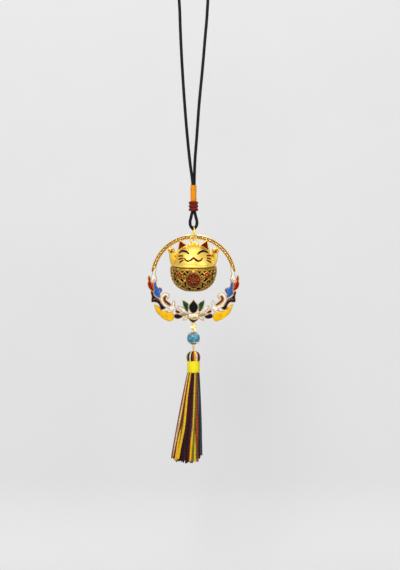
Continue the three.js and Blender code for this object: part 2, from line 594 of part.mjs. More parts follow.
const bellGap = BODY_RADIUS + BELL_RADIUS + SEAT;
const bell = new THREE.SphereGeometry(BELL_RADIUS, 12, 8).translate(0, -bellGap, -BODY_BULGE_DROP);
part("collar_bell", tilted(bell), gold, catPlace);
for (const [label, side] of [["left", -1], ["right", 1]]) {
  const gemGap = BODY_RADIUS + GEM_RADIUS + FIT;
  const out = new THREE.Vector3(side * 0.6, -0.76, -0.24).normalize().multiplyScalar(gemGap);
  const gem = new THREE.SphereGeometry(GEM_RADIUS, 10, 8).translate(out.x, out.y, out.z - BODY_BULGE_DROP);
  part(`gem_${label}`, tilted(gem), enamel.red, catPlace);
}

// Drop: an eye pin with a star soldered to its upper eye, carrying the bead between two caps
const pinEye = new THREE.TorusGeometry(PIN_EYE_RADIUS, PIN_WIRE / 2, 6, 16).rotateY(Math.PI / 2);
const pinFoot = new THREE.TorusGeometry(PIN_FOOT_RADIUS, PIN_WIRE / 2, 6, 14)
  .rotateX(Math.PI / 2)
  .translate(0, 0, -pinLength);
const stemLength = pinLength - PIN_EYE_RADIUS - PIN_FOOT_RADIUS;
const stem = rod(PIN_WIRE / 2, stemLength, 8, "z").translate(0, 0, -PIN_EYE_RADIUS - stemLength / 2);
part("eye_pin", surface(join([pinEye, pinFoot, stem].map(solid))), gold, [0, 0, pinHeight]);

const starPoints = [];
for (let i = 0; i < 10; i++) {
  const turn = (i / 10) * 2 * Math.PI;
  const reach = i % 2 ? STAR_RADIUS * 0.5 : STAR_RADIUS;
  starPoints.push(new THREE.Vector2(reach * Math.sin(turn), reach * Math.cos(turn)));
}
const starBack = -PIN_EYE_RADIUS - PIN_WIRE / 2 - SEAT;
part("star_charm", plate(new THREE.Shape(starPoints), starBack, STAR_DEPTH), gold, [0, 0, starHeight]);

const pinBore = PIN_WIRE / 2 + HINGE_PLAY;
function beadArc(grow, low, high, steps) {
  const points = [];
  for (let i = 0; i <= steps; i++) {
    const height = low + (i / steps) * (high - low);
    const share = height / (BEAD_HEIGHT / 2 + grow);
    points.push([(BEAD_RADIUS + grow) * Math.sqrt(Math.max(0, 1 - Math.abs(share) ** 2.6)), height]);
  }
  return points;
}
const beadEnd = 0.95 * BEAD_HEIGHT / 2;
const beadWall = beadArc(0, -beadEnd, beadEnd, 8);
const beadProfile = [[pinBore, -beadEnd], ...beadWall, [pinBore, beadEnd], [pinBore, -beadEnd]];
part("turquoise_bead", turned(beadProfile, 20), turquoise, [0, 0, beadHeight]);
const capFloor = BEAD_HEIGHT / 2 + SEAT;
const capProfile = [
  [pinBore, capFloor],
  [CAP_RADIUS, capFloor],
  [CAP_RADIUS, capFloor + CAP_WALL / 2],
  [0.6 * CAP_RADIUS, capFloor + 1.6 * CAP_WALL],
  [pinBore, capFloor + 2 * CAP_WALL],
  [pinBore, capFloor],
];
part("bead_cap_top", turned(capProfile, 20), silver, [0, 0, beadHeight]);
part("bead_cap_bottom", turned(capProfile, 20).rotateX(Math.PI), silver, [0, 0, beadHeight]);

// Tassel
const tasselEye = new THREE.TorusGeometry(TASSEL_EYE_RADIUS, TASSEL_THREAD / 2, 6, 16).rotateY(Math.PI / 2);
part("tassel_loop", tasselEye, yellowThread, [0, 0, tasselEyeHeight]);
const headProfile = [[0, 0]];
for (const [wide, deep] of [[0.45, 0.03], [0.75, 0.14], [0.94, 0.36], [1, 0.62], [0.97, 0.85], [0.88, 1]]) {
  headProfile.push([wide * TASSEL_HEAD_RADIUS, -deep * TASSEL_HEAD_HEIGHT]);
}
headProfile.push([0, -TASSEL_HEAD_HEIGHT]);
part("tassel_head", turned(headProfile, 24), mixedThread, [0, 0, tasselTop]);
const bindingBody = rod(BINDING_RADIUS, BINDING_HEIGHT, 24, "z").translate(0, 0, -BINDING_HEIGHT / 2);
part("tassel_binding", bindingBody, yellowThread, [0, 0, bindingTop]);

const skirt = new THREE.CylinderGeometry(1, 1, SKIRT_LENGTH, 20, 5)
  .rotateX(Math.PI / 2)
  .translate(0, 0, -SKIRT_LENGTH / 2);
const spots = skirt.attributes.position;
for (let i = 0; i < spots.count; i++) {
  const fall = -spots.getZ(i) / SKIRT_LENGTH;
  const wide = SKIRT_TOP + (SKIRT_WIDTH - SKIRT_TOP) * fall;
  const deep = SKIRT_TOP + (SKIRT_DEPTH - SKIRT_TOP) * fall;
  spots.setX(i, spots.getX(i) * wide + SKIRT_LEAN * fall);
  spots.setY(i, spots.getY(i) * deep);
}
part("tassel_skirt", skirt, mixedThread, [0, 0, skirtTop]);

export default group;
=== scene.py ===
"""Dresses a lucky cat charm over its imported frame.

The pieces run from the hanging cord down to the tassel: cord and windings, jump ring, hoop with its
enamel wreath, cat, drop with bead, tassel. Sizes are in metres, Z is up and the front faces -Y.
"""

from __future__ import annotations

import logging
import math
import random
from collections.abc import Callable, Sequence
from dataclasses import dataclass, field
from enum import Enum

import bmesh
import bpy
from mathutils import Matrix, Vector
from mathutils.geometry import delaunay_2d_cdt
from mathutils.kdtree import KDTree

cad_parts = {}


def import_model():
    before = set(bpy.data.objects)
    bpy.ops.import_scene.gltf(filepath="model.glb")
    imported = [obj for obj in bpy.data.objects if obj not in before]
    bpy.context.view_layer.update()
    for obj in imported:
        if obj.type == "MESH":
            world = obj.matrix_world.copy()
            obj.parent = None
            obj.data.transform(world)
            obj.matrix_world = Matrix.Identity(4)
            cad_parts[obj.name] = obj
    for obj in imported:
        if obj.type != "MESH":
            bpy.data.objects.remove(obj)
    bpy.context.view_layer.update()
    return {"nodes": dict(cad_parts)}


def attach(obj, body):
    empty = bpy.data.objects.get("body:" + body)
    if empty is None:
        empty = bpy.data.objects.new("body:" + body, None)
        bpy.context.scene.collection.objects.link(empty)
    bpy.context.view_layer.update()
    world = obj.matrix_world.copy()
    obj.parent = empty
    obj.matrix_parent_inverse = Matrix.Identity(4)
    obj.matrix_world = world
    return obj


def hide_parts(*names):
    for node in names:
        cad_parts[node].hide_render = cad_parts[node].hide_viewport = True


LOG = logging.getLogger("charm")
MM = 0.001
CREASE = 40.0
Node = bpy.types.Node
Socket = bpy.types.NodeSocket
Shade = tuple[int, int, int]
Colour = tuple[float, float, float, float]
Route = list[Vector]
Drawing = tuple[tuple[float, ...], ...]


class Slot(Enum):
    """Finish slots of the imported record."""

    GOLD = "gold"
    SILVER = "silver"
    CORD = "cord_black"
    SLEEVE = "thread_orange"
    WHIPPING = "thread_red"
    BINDING = "thread_yellow"
    TASSEL = "tassel_thread"
    TURQUOISE = "turquoise"
    WHITE = "enamel_white"
    RED = "enamel_red"
    BLUE = "enamel_blue"
    NAVY = "enamel_navy"
    YELLOW = "enamel_yellow"
    GREEN = "enamel_green"
    PALE = "enamel_pale_green"
    LILAC = "enamel_lilac"
    BLACK = "enamel_black"
    TEAL = "enamel_teal"


class Side(Enum):
    """The two halves of the charm, as the sign of X."""

    LEFT = -1
    RIGHT = 1

    @property
    def label(self) -> str:
        """The side's name as it stands in the names of pieces."""
        return self.name.lower()


def paint(shade: Shade) -> Colour:
    """Turns a colour as a screen shows it, from 0 to 255, into the linear one that shaders take."""
    shares = [value / 255 for value in shade]
    linear = [c / 12.92 if c <= 0.04045 else ((c + 0.055) / 1.055) ** 2.4 for c in shares]
    return (linear[0], linear[1], linear[2], 1.0)


class Wiring:
    """Adds and links the nodes of one shader tree."""

    def __init__(self, tree: bpy.types.NodeTree) -> None:
        """Keeps the tree that the nodes go into."""
        self.tree = tree

    def feed(self, node: Node, inputs: dict[str | int, object]) -> None:
        """Links sockets, or sets plain values, on a node's inputs."""
        for key, value in inputs.items():
            if isinstance(value, Socket):
                self.tree.links.new(value, node.inputs[key])
            else:
                node.inputs[key].default_value = value

    def add(self, kind: str, inputs: dict[str | int, object] | None = None, **settings: object) -> Node:
        """Adds a node.

        Args:
            kind: Blender's name of the node type.
            inputs: Values or sockets for the node's inputs.
            **settings: Properties of the node itself.

        Returns:
            The new node.
        """
        node = self.tree.nodes.new(kind)
        for key, value in settings.items():
            setattr(node, key, value)
        self.feed(node, inputs or {})
        return node

    def sum(self, operation: str, *values: object) -> Socket:
        """Adds a math node and returns its result."""
        return self.add("ShaderNodeMath", dict(enumerate(values)), operation=operation).outputs[0]

    def span(self, value: object, low: float, high: float, start: float, end: float) -> Socket:
        """Maps a value from one range onto another and returns the result."""
        inputs = {"Value": value, "From Min": low, "From Max": high, "To Min": start, "To Max": end}
        return self.add("ShaderNodeMapRange", inputs).outputs[0]

    def blend(self, share: object, first: object, second: object) -> Socket:
        """Mixes two colours and returns the result."""
        return self.add("ShaderNodeMix", {0: share, 6: first, 7: second}, data_type="RGBA").outputs[2]

    def place(self) -> Socket:
        """Returns the place on the piece in its own coordinates."""
        return self.add("ShaderNodeTexCoord").outputs["Object"]

    def noise(self, place: Socket, scale: object, detail: float = 2.0) -> Node:
        """Adds a noise over a place and returns its node."""
        return self.add("ShaderNodeTexNoise", {"Vector": place, "Scale": scale, "Detail": detail})

    def relief(self, height: Socket, depth: float) -> Socket:
        """Adds a bump whose full height is a depth in metres and returns its normal."""
        inputs = {"Strength": 1.0, "Distance": depth, "Height": height}
        return self.add("ShaderNodeBump", inputs).outputs["Normal"]

    def looked_at(self) -> Socket:
        """Returns 1 where a backdrop is seen, mirrored or looked through, and 0 where it only lights."""
        path = self.add("ShaderNodeLightPath").outputs
        seen = self.sum("MAXIMUM", path["Is Camera Ray"], path["Is Glossy Ray"])
        return self.sum("MAXIMUM", seen, path["Is Transmission Ray"])


class ShaderGroup:
    """A shader node group that is built once and placed in many materials."""

    name = "group"
    takes: dict[str, str] = {}
    gives: dict[str, str] = {}

    def lay_out(self, wiring: Wiring, given: bpy.types.NodeOutputs, result: Node) -> None:
        """Adds the group's own nodes between what it is given and its output node."""
        raise NotImplementedError

    def tree(self) -> bpy.types.NodeTree:
        """Returns the group's tree, built at the first call."""
        found = bpy.data.node_groups.get(self.name)
        if found:
            return found
        tree = bpy.data.node_groups.new(self.name, "ShaderNodeTree")
        for label, kind in self.takes.items():
            tree.interface.new_socket(label, in_out="INPUT", socket_type=kind)
        for label, kind in self.gives.items():
            tree.interface.new_socket(label, in_out="OUTPUT", socket_type=kind)
        wiring = Wiring(tree)
        given = wiring.add("NodeGroupInput")
        result = wiring.add("NodeGroupOutput")
        self.lay_out(wiring, given.outputs, result)
        return tree

    def set_down(self, wiring: Wiring, **values: object) -> bpy.types.NodeOutputs:
        """Puts the group into a material with that material's own values and returns its outputs."""
        return wiring.add("ShaderNodeGroup", values, node_tree=self.tree()).outputs


class SettledTone(ShaderGroup):
    """Slow patches of a deeper tone with a fine tooth, for metal, stone and enamel."""

    name = "settled tone"
    takes = {"Bright": "NodeSocketColor", "Deep": "NodeSocketColor", "Scale": "NodeSocketFloat"}
    gives = {"Colour": "NodeSocketColor", "Mask": "NodeSocketFloat", "Height": "NodeSocketFloat"}
    patch_detail = 4.0
    patch_span = (0.36, 0.64)
    tooth_ratio = 7.0

    def lay_out(self, wiring: Wiring, given: bpy.types.NodeOutputs, result: Node) -> None:
        """Mixes the two tones by a soft noise and gives a finer one as height."""
        place = wiring.place()
        patch = wiring.noise(place, given["Scale"], self.patch_detail)
        mask = wiring.span(patch.outputs[0], *self.patch_span, 0.0, 1.0)
        tooth = wiring.noise(place, wiring.sum("MULTIPLY", given["Scale"], self.tooth_ratio))
        tone = wiring.blend(mask, given["Deep"], given["Bright"])
        wiring.feed(result, {"Colour": tone, "Mask": mask, "Height": tooth.outputs[0]})


class HollowTone(ShaderGroup):
    """Paints shade into hollows and brightens rubbed edges by the bend of the surface."""

    name = "hollow tone"
    takes = {"Plain": "NodeSocketColor", "Hollow": "NodeSocketColor", "Rubbed": "NodeSocketColor"}
    gives = {"Colour": "NodeSocketColor"}
    hollow_span = (0.49, 0.42)
    hollow_share = 0.85
    edge_span = (0.53, 0.62)
    edge_share = 0.7

    def lay_out(self, wiring: Wiring, given: bpy.types.NodeOutputs, result: Node) -> None:
        """Splits the bend into a share of painted shade for hollows and an edge share and mixes both in."""
        bend = wiring.add("ShaderNodeNewGeometry").outputs["Pointiness"]
        # deep is how much painted shade goes into a hollow
        deep = wiring.span(bend, *self.hollow_span, 0.0, self.hollow_share)
        edge = wiring.span(bend, *self.edge_span, 0.0, self.edge_share)
        darker = wiring.blend(deep, given["Plain"], given["Hollow"])
        wiring.feed(result, {"Colour": wiring.blend(edge, darker, given["Rubbed"])})


class SpunThread(ShaderGroup):
    """Slanting fibre ridges along a thread, laid by the mesh's own lay map, darker in the grooves and
    lighter on the crests as painted shade and highlight.
    """

    name = "spun thread"
    takes = {
        "Light": "NodeSocketColor",
        "Dark": "NodeSocketColor",
        "Along": "NodeSocketFloat",
        "Around": "NodeSocketFloat",
    }
    gives = {"Colour": "NodeSocketColor", "Height": "NodeSocketFloat", "Mask": "NodeSocketFloat"}
    drift_scale = 520.0
    drift_turns = 2.2
    fuzz_scale = 2600.0
    ridge_share = 0.6
    fuzz_share = 0.4

    def lay_out(self, wiring: Wiring, given: bpy.types.NodeOutputs, result: Node) -> None:
        """Makes a wave from both lay directions and roughens it with noise."""
        coordinates = wiring.add("ShaderNodeTexCoord").outputs
        lay = wiring.add("ShaderNodeSeparateXYZ", {"Vector": coordinates["UV"]}).outputs
        along = wiring.sum("MULTIPLY", lay["X"], given["Along"])
        around = wiring.sum("MULTIPLY", lay["Y"], given["Around"])
        drift = wiring.noise(coordinates["Object"], self.drift_scale).outputs[0]
        twist = wiring.sum("MULTIPLY", drift, self.drift_turns)
        turns = wiring.sum("ADD", wiring.sum("ADD", along, around), twist)
        wave = wiring.sum("SINE", wiring.sum("MULTIPLY", turns, math.tau))
        ridge = wiring.sum("MULTIPLY", wiring.span(wave, -1.0, 1.0, 0.0, 1.0), self.ridge_share)
        fuzz = wiring.noise(coordinates["Object"], self.fuzz_scale).outputs[0]
        mask = wiring.sum("ADD", ridge, wiring.sum("MULTIPLY", fuzz, self.fuzz_share))
        # the mask that lifts the crests also tints them Light and the grooves Dark: painted shade and
        # highlight, mixed with random fuzz
        tone = wiring.blend(mask, given["Dark"], given["Light"])
        wiring.feed(result, {"Colour": tone, "Height": mask, "Mask": fuzz})


SETTLED = SettledTone()
HOLLOW = HollowTone()
THREAD = SpunThread()


@dataclass(frozen=True)
class Finish:
    """A finish that becomes one material of its name, with the record's slot it stands for."""

    name: str
    slot: Slot | None

    def material(self) -> bpy.types.Material:
        """Returns the finish's material, made at the first call."""
        found = bpy.data.materials.get(self.name)
        if found:
            return found
        made = bpy.data.materials.new(self.name)
        made.use_nodes = True
        self.shade(Wiring(made.node_tree), made.node_tree.nodes["Principled BSDF"])
        return made

    def shade(self, wiring: Wiring, shader: Node) -> None:
        """Feeds the material's shader."""
        raise NotImplementedError


@dataclass(frozen=True)
class MetalFinish(Finish):
    """Plated metal with settled patches, painted shade in its hollows and rubbed edges."""

    bright: Shade
    deep: Shade
    # hollow is the colour of the painted shade in the hollows
    hollow: Shade
    rubbed: Shade
    roughness: float
    scale: float = 260.0
    tooth: float = 0.00002
    duller: float = 0.07
    smoother: float = 0.05

    def shade(self, wiring: Wiring, shader: Node) -> None:
        """Feeds colour, roughness and tooth from the shared groups."""
        tone = SETTLED.set_down(wiring, Bright=paint(self.bright), Deep=paint(self.deep), Scale=self.scale)
        worn = HOLLOW.set_down(
            wiring, Plain=tone["Colour"], Hollow=paint(self.hollow), Rubbed=paint(self.rubbed))
        ends = (self.roughness + self.duller, self.roughness - self.smoother)
        wiring.feed(shader, {
            "Base Color": worn["Colour"], "Roughness": wiring.span(tone["Mask"], 0.0, 1.0, *ends),
            "Metallic": 1.0, "Normal": wiring.relief(tone["Height"], self.tooth)})


@dataclass(frozen=True)
class EnamelFinish(Finish):
    """Fired enamel: glossy, a little uneven in tone, with a faint orange-peel skin."""

    colour: Shade
    shadow: Shade
    scale: float = 420.0
    roughness: float = 0.2
    duller: float = 0.08
    specular: float = 0.1
    coat: float = 0.06
    coat_roughness: float = 0.06
    peel: float = 0.000012

    def shade(self, wiring: Wiring, shader: Node) -> None:
        """Feeds the tone and the faint skin, and sets the clear top coat."""
        tone = SETTLED.set_down(
            wiring, Bright=paint(self.colour), Deep=paint(self.shadow), Scale=self.scale)
        ends = (self.roughness + self.duller, self.roughness)
        wiring.feed(shader, {
            "Base Color": tone["Colour"], "Roughness": wiring.span(tone["Mask"], 0.0, 1.0, *ends),
            "Specular IOR Level": self.specular, "Coat Weight": self.coat,
            "Coat Roughness": self.coat_roughness, "Normal": wiring.relief(tone["Height"], self.peel)})


@dataclass(frozen=True)
class ThreadFinish(Finish):
    """Spun thread or braided cord with slanting fibre ridges and a soft sheen."""

    # light and dark are the painted highlight on the crests and the painted shade in the grooves
    light: Shade
    dark: Shade
    along: float
    around: float
    depth: float = 0.00006
    roughness: float = 0.55
    sheen: float = 0.06
    specular: float = 0.12
    fuzz_span: tuple[float, float] = (0.3, 0.7)
    unevenness: float = 0.08

    def shade(self, wiring: Wiring, shader: Node) -> None:
        """Feeds the fibre pattern and sets the sheen."""
        spun = THREAD.set_down(
            wiring, Light=paint(self.light), Dark=paint(self.dark), Along=self.along, Around=self.around)
        ends = (self.roughness - self.unevenness, self.roughness + self.unevenness)
        wiring.feed(shader, {
            "Base Color": spun["Colour"], "Roughness": wiring.span(spun["Mask"], *self.fuzz_span, *ends),
            "Sheen Weight": self.sheen, "Specular IOR Level": self.specular,
            "Normal": wiring.relief(spun["Height"], self.depth)})


@dataclass(frozen=True)
class StoneFinish(Finish):
    """Polished veined stone."""

    pale: Shade
    deep: Shade
    vein: Shade
    scale: float = 330.0
    warp_scale: float = 500.0
    warp_detail: float = 3.0
    warp: float = 0.0016
    vein_width: float = 0.09
    vein_share: float = 0.8
    roughness: tuple[float, float] = (0.22, 0.5)
    coat: float = 0.4
    coat_roughness: float = 0.1
    tooth: float = 0.00003

    def shade(self, wiring: Wiring, shader: Node) -> None:
        """Feeds clouds of two tones crossed by thin crooked veins."""
        tone = SETTLED.set_down(wiring, Bright=paint(self.pale), Deep=paint(self.deep), Scale=self.scale)
        place = wiring.place()
        warp = wiring.noise(place, self.warp_scale, self.warp_detail).outputs["Color"]
        shift = wiring.add("ShaderNodeVectorMath", {0: warp, "Scale": self.warp}, operation="SCALE")
        bent = wiring.add("ShaderNodeVectorMath", {0: place, 1: shift.outputs[0]}, operation="ADD")
        inputs = {"Vector": bent.outputs[0], "Scale": self.scale}
        cracks = wiring.add("ShaderNodeTexVoronoi", inputs, feature="DISTANCE_TO_EDGE")
        vein = wiring.span(cracks.outputs["Distance"], 0.0, self.vein_width, self.vein_share, 0.0)
        wiring.feed(shader, {
            "Base Color": wiring.blend(vein, tone["Colour"], paint(self.vein)),
            "Roughness": wiring.span(vein, 0.0, 1.0, *self.roughness), "Coat Weight": self.coat,
            "Coat Roughness": self.coat_roughness, "Normal": wiring.relief(tone["Height"], self.tooth)})


@dataclass(frozen=True)
class StageFinish(Finish):
    """Pale studio paper that shows only its front."""

    colour: Shade
    shadow: Shade
    mottle: float = 9.0
    roughness: float = 0.9
    specular: float = 0.1
    glow: float = 0.5

    def shade(self, wiring: Wiring, shader: Node) -> None:
        """Gives the front a faint mottle and an even glow, and lets the back be seen through."""
        tone = SETTLED.set_down(
            wiring, Bright=paint(self.colour), Deep=paint(self.shadow), Scale=self.mottle)
        wiring.feed(shader, {
            "Base Color": tone["Colour"], "Roughness": self.roughness, "Specular IOR Level": self.specular,
            "Emission Color": (1.0, 1.0, 1.0, 1.0),
            "Emission Strength": wiring.span(wiring.looked_at(), 0.0, 1.0, 0.0, self.glow)})
        back = wiring.add("ShaderNodeNewGeometry").outputs["Backfacing"]
        clear = wiring.add("ShaderNodeBsdfTransparent").outputs[0]
        mixed = wiring.add("ShaderNodeMixShader", {0: back, 1: shader.outputs[0], 2: clear})
        wiring.feed(wiring.tree.nodes["Material Output"], {"Surface": mixed.outputs[0]})


# the third colour of each metal is its painted shade in hollows
BRIGHT_GOLD = MetalFinish(
    "bright gold", Slot.GOLD, (250, 216, 112), (238, 194, 84), (92, 58, 10), (255, 240, 176), 0.24)
SATIN_GOLD = MetalFinish(
    "satin gold", Slot.GOLD, (240, 212, 108), (230, 194, 84), (120, 84, 20), (255, 240, 176), 0.45,
    180.0, 0.00003)
OPENWORK_GOLD = MetalFinish(
    "openwork gold", Slot.GOLD, (180, 136, 48), (136, 97, 30), (40, 24, 6), (246, 214, 118), 0.36)
AGED_GOLD = MetalFinish(
    "aged gold", Slot.GOLD, (196, 132, 60), (152, 92, 40), (60, 32, 12), (232, 180, 96), 0.42,
    900.0, 0.00005)
WIRE_GOLD = MetalFinish(
    "wire gold", Slot.GOLD, (202, 150, 58), (156, 108, 36), (52, 30, 8), (240, 204, 112), 0.3)
COPPER = MetalFinish(
    "medallion copper", Slot.GOLD, (158, 88, 44), (112, 54, 26), (44, 16, 8), (206, 138, 76), 0.4)
# painted shade for the bowl's inner face and for the lining seen through the openings
DARK_INSIDE = MetalFinish(
    "dark inside", Slot.GOLD, (30, 20, 10), (16, 11, 7), (6, 4, 3), (44, 30, 14), 0.7)
BRIGHT_SILVER = MetalFinish(
    "bright silver", Slot.SILVER, (214, 215, 218), (150, 152, 158), (30, 30, 36), (250, 250, 250), 0.24)
ENAMEL_TONES: dict[str, tuple[Slot, Shade, Shade]] = {
    "white": (Slot.WHITE, (250, 248, 242), (240, 236, 226)),
    "red": (Slot.RED, (176, 14, 10), (132, 6, 6)),
    "maroon": (Slot.RED, (124, 14, 12), (90, 7, 6)),
    "blue": (Slot.BLUE, (38, 112, 200), (18, 80, 168)),
    "navy": (Slot.NAVY, (20, 20, 56), (10, 10, 36)),
    "yellow": (Slot.YELLOW, (252, 204, 12), (242, 180, 2)),
    "green": (Slot.GREEN, (12, 92, 62), (6, 62, 44)),
    "pale green": (Slot.PALE, (140, 168, 118), (112, 146, 98)),
    "lilac": (Slot.LILAC, (238, 234, 230), (214, 208, 210)),
    "black": (Slot.BLACK, (14, 13, 18), (7, 7, 9)),
    "teal": (Slot.TEAL, (128, 198, 178), (92, 170, 150)),
}
ENAMELS = {name: EnamelFinish(f"{name} enamel", *tones) for name, tones in ENAMEL_TONES.items()}
TURQUOISE = StoneFinish("veined turquoise", Slot.TURQUOISE, (86, 184, 208), (26, 112, 146), (8, 36, 48))
BLACK_CORD = ThreadFinish(
    "black cord", Slot.CORD, (26, 26, 28), (4, 4, 5), 700.0, 3.0, 0.00012, 0.5, 0.02)
ORANGE_THREAD = ThreadFinish("orange thread", Slot.SLEEVE, (255, 182, 30), (242, 138, 8), 0.0, 90.0)
RED_THREAD = ThreadFinish("red thread", Slot.WHIPPING, (162, 46, 28), (72, 10, 8), 0.0, 90.0)
YELLOW_THREAD = ThreadFinish("yellow thread", Slot.BINDING, (255, 248, 54), (255, 232, 24), 0.0, 110.0)
STRAND_TONES: dict[str, tuple[Shade, Shade]] = {
    "gold": ((255, 208, 44), (224, 158, 18)),
    "lemon": ((250, 226, 60), (216, 176, 22)),
    "maroon": ((104, 14, 16), (52, 4, 8)),
    "brick": ((184, 84, 54), (120, 44, 26)),
    "plum": ((48, 16, 34), (20, 6, 16)),
    "ink": ((22, 16, 26), (8, 6, 10)),
    "brown": ((122, 68, 26), (72, 36, 12)),
    "olive": ((136, 132, 30), (84, 82, 14)),
    "cream": ((250, 238, 200), (218, 196, 148)),
    "grey": ((168, 154, 168), (118, 104, 120)),
    "slate": ((64, 82, 94), (36, 48, 58)),
}
STRANDS = {
    name: ThreadFinish(f"{name} strand", Slot.TASSEL, *tones, 420.0, 2.0, 0.00002, 0.46, 0.1)
    for name, tones in STRAND_TONES.items()}
PAPER = StageFinish("studio paper", None, (144, 144, 145), (141, 141, 142))


def in_metres(points: Sequence[Sequence[float]]) -> Route:
    """Turns points in millimetres into vectors in metres."""
    return [Vector(point) * MM for point in points]


def on_side(points: Drawing, side: Side) -> Route:
    """Places a drawing of the right half on one side.

    Args:
        points: Across and up, or across, back and up, in millimetres.
        side: The side that it goes to.

    Returns:
        The points in metres.
    """
    route = []
    for across, *back, up in points:
        route.append(Vector((side.value * across, back[0] if back else 0.0, up)) * MM)
    return route


def at_depth(outline: Route, depth: float) -> Route:
    """Moves an outline in the XZ plane to a place along Y."""
    return [Vector((p.x, depth, p.z)) for p in outline]


def full_turn(count: int) -> list[float]:
    """Returns evenly spaced angles once round."""
    return [math.tau * k / count for k in range(count)]


def smooth_route(points: Route, per_span: int, closed: bool = False) -> Route:
    """Runs a centripetal Catmull-Rom curve through points.

    Args:
        points: The points that the curve passes through.
        per_span: How many samples each span between two points gets.
        closed: Whether the curve returns to its start.

    Returns:
        Samples along the curve, with the last point when it is open.
    """
    count = len(points)
    if closed:
        padded = [points[-1], *points, points[0], points[1]]
    else:
        padded = [2 * points[0] - points[1], *points, 2 * points[-1] - points[-2]]
    route: Route = []
    for start in range(count if closed else count - 1):
        corners = padded[start:start + 4]
        knots = [0.0]
        for first, second in zip(corners, corners[1:]):
            knots.append(knots[-1] + math.sqrt(max((second - first).length, 1e-9)))
        for step in range(per_span):
            at = knots[1] + (knots[2] - knots[1]) * step / per_span
            level = list(corners)
            for reach in (1, 2):
                for i in range(3 if reach == 1 else 2):
                    share = (at - knots[i]) / (knots[i + reach] - knots[i])
                    level[i] = level[i].lerp(level[i + 1], share)
            share = (at - knots[1]) / (knots[2] - knots[1])
            route.append(level[0].lerp(level[1], share))
    if not closed:
        route.append(points[-1].copy())
    return route


def circle(middle: Vector, across: Vector, up: Vector, count: int) -> Route:
    """Returns points round a circle, from its radius at the start and that a quarter turn later."""
    return [middle + math.cos(turn) * across + math.sin(turn) * up for turn in full_turn(count)]


def carried_frames(route: Route, closed: bool) -> list[tuple[Vector, Vector]]:
    """Carries a pair of crossing directions along a route without twisting it.

    Args:
        route: The points of the route.
        closed: Whether the route returns to its start.

    Returns:
        For each point, two unit directions square to the route.
    """
    count = len(route)
    headings: Route = []
    for i in range(count):
        before = route[i - 1] if closed or i else route[0]
        after = route[(i + 1) % count] if closed or i < count - 1 else route[-1]
        headings.append((after - before).normalized())
    side = headings[0].orthogonal().normalized()
    frames = []
    for heading in headings:
        side = (side - heading * side.dot(heading)).normalized()
        frames.append((side.copy(), heading.cross(side)))
    return frames


